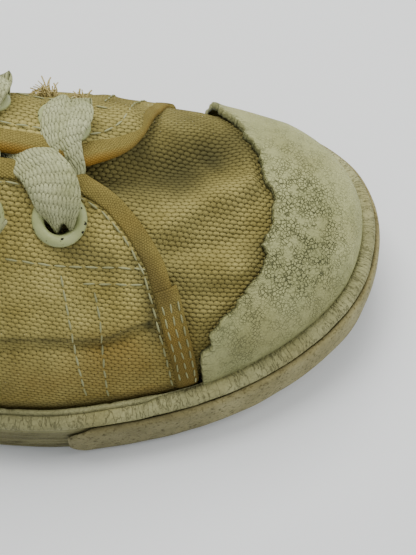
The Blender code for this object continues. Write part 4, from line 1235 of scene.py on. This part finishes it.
def ribbon(name, side, number, run, nodes=()):
    """Flat lace from one eyelet, over its own facing and under the other, to the next eyelet."""
    start = eyelet_place(side, number)[0]
    end = eyelet_place(-side, number + 1)[0]
    pitch = (start[0] - end[0]) / (-run[-1][0] * MM)
    line = []
    for ahead, share, rise, width, angle in run:
        half = abs(start[1]) if share * side > 0 else abs(end[1])
        x = start[0] + (ahead * pitch - LEAN * rise) * MM
        y = share * half
        turn, v = height_share(np.array([x]), np.array([y]))
        base = quarter_rise(side, turn, np.abs(v) * side)[0]
        p = last(turn, v, np.array([base + rise * MM]))[0]
        line.append((*p, width * MM, angle * SMALL))
    path = smooth_line(line, 120)
    turned = np.radians(path[:, 4] / SMALL)
    level = np.column_stack([np.cos(turned), np.sin(turned), np.zeros(len(path))])
    ahead = unit(np.gradient(path[:, :3], axis=0))
    across = unit(level - ahead * np.sum(level * ahead, axis=1)[:, None])
    up = np.cross(across, ahead)
    up *= np.sign(up[len(up) // 3, 2])
    widths = path[:, 3]
    length = way_along(path[:, :3]) / MM
    ring = 41

    def place(s, t):
        i = np.rint(s * (len(path) - 1)).astype(int)
        angle = 2 * math.pi * np.rint(t * (ring - 1)) / (ring - 1)
        u = np.cos(angle)
        half = LACE_THICK / 2 * np.sign(np.sin(angle)) * np.abs(np.sin(angle)) ** 0.45
        tight = np.clip(1 - widths[i] / LACE_WIDTH, 0, 1)
        pinch = 1 - ramp(0.10, 0.24, s) * (1 - ramp(0.86, 0.95, s))
        fold = -np.cos(u * math.pi * 1.7) * tight * pinch * LACE_FOLD
        if side > 0:
            fold = fold - LACE_CREASE * np.exp(-((u + 0.05) / 0.18) ** 2) * ramp(0.12, 0.25, s)
        soft = np.cos(u * 5.0 + s * 9.0) * LACE_RIPPLE - LACE_DROOP * u * u * ramp(0.05, 0.2, s)
        bent = path[i, :3] + across[i] * (u * widths[i] / 2)[:, None]
        bent = bent + up[i] * (half + fold + soft)[:, None]
        return bent, np.column_stack([u * LACE_WIDTH / 2 / MM, length[i]])

    bm = fresh()
    lay_grid(bm, len(path) - 1, ring - 1, place, lace_paint)
    finish(bm, name, LACE, nodes)


def lace_paint(points, flat):
    dirt = 0.3 * blots(points, 0.004, 61.0) + 0.55 * np.exp(-flat[:, 0] / 0.10)
    return {"dirt": dirt, "rust": 0.25 * blots(points, 0.006, 63.0)}


def make_laces():
    for number in range(1, EYELET_PAIRS):
        ribbon("lace_near_%d" % number, -1, number, NEAR_RUN, ["lace_crossing_%d" % number])
        ribbon("lace_far_%d" % number, 1, number, FAR_RUN)


def make_fray():
    """Soft tufts of worn-through canvas standing off the top of the inner quarter."""
    bm = fresh()
    for k in range(FIBRES):
        centre, spread, tall = FRAY_TUFTS[k % len(FRAY_TUFTS)]
        x = centre[0] + RNG.gauss(0, spread)
        y = centre[1] + RNG.gauss(0, 0.5)
        turn, v = height_share(np.array([x * MM]), np.array([y * MM]))
        base = last(turn, v, quarter_rise(1, turn, v) - 0.0003)[0]
        up = last_normal(turn, v)[0]
        reach = RNG.uniform(0.4, 1.0) * tall * MM
        lean = np.array([RNG.uniform(-1.3, -0.1), RNG.uniform(-0.5, 0.4), 0.0])
        curl = np.array([RNG.uniform(-1, 1), RNG.uniform(-1, 1), RNG.uniform(-1.2, 0.0)])
        way = np.linspace(0, 1, 9)[:, None]
        wave = np.sin(way * RNG.uniform(3, 7)) * 0.16
        path = base + (up * way + lean * way**1.5 * 0.8 + curl * (way**3 * 0.8 + wave)) * reach
        ahead = unit(np.gradient(path, axis=0))
        across = unit(np.cross(ahead, [[0.3, 0.2, 0.9]]))
        thin = RNG.uniform(0.09, 0.17) * MM
        section = [(thin * math.cos(a), thin * math.sin(a)) for a in np.arange(4) * math.pi / 2]
        sweep(bm, path, across, np.cross(ahead, across), section)
    finish(bm, "frayed_threads", FLUFF)


# Tufts seen from above in mm: middle, spread along the shoe, length of the fibres
FIBRES = 160
FRAY_TUFTS = (((33.2, 18.3), 0.35, 3.1), ((34.2, 18.0), 0.5, 2.4), ((39.8, 17.8), 0.5, 1.7))


make_vamp()
make_quarter(-1, "quarter_outer_canvas", ["upper"])
make_quarter(1, "quarter_inner_canvas")
make_tongue()
make_cap()
make_band()
make_bumper()
make_insole()
make_bindings()
make_tapes()
make_stitches()
make_eyelets()
make_laces()
make_fray()

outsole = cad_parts["outsole"]
outsole.data.materials.clear()
outsole.data.materials.append(TREAD_RUBBER)


# Floor, light and camera

def aim_at(target, name, data, place):
    """Put a lamp or camera in its place, turned to what it looks at."""
    made = put(name, data)
    made.location = place
    made.rotation_mode = "QUATERNION"
    made.rotation_quaternion = (target - Vector(place)).to_track_quat("-Z", "Y")
    return made


def make_floor():
    """Matt white paper, which keeps the ground free of gloss."""
    bm = bmesh.new()
    bmesh.ops.create_grid(bm, x_segments=1, y_segments=1, size=1.6)
    mesh = bpy.data.meshes.new("floor")
    bm.to_mesh(mesh)
    bm.free()
    look, _, shader = new_material("matt_paper_sweep", 0.9, Specular_IOR_Level=0.1)
    shader.inputs["Base Color"].default_value = linear("#f0f1ef")
    mesh.materials.append(look)
    put("floor", mesh)


def make_lights():
    """A large soft window over the heel, a weaker one past the toe, and an even sky."""
    for name, place, size, power in (
            ("top_softbox", (-0.10, 0.35, 0.75), 0.55, 7.0),
            ("side_softbox", (0.65, 0.10, 0.45), 0.40, 2.2)):
        data = bpy.data.lights.new(name, "AREA")
        data.shape = "SQUARE"
        data.size = size
        data.energy = power
        aim_at(Vector((0.05, 0.0, 0.03)), name, data, place)
    world = bpy.data.worlds.new("studio")
    world.use_nodes = True
    sky = world.node_tree.nodes["Background"]
    sky.inputs["Color"].default_value = (0.92, 0.95, 1.0, 1.0)
    sky.inputs["Strength"].default_value = 0.60
    bpy.context.scene.world = world


def make_camera():
    aim = Vector((0.0640, -0.0035, 0.0120))
    tilt = math.radians(65)
    distance, focal_px, image_height = 0.230, 1115, 555
    data = bpy.data.cameras.new("photo_camera")
    data.lens = focal_px * data.sensor_width / image_height
    data.clip_start = 0.01
    place = aim + distance * Vector((0, -math.cos(tilt), math.sin(tilt)))
    bpy.context.scene.camera = aim_at(aim, "photo_camera", data, place)


make_floor()
make_lights()
make_camera()
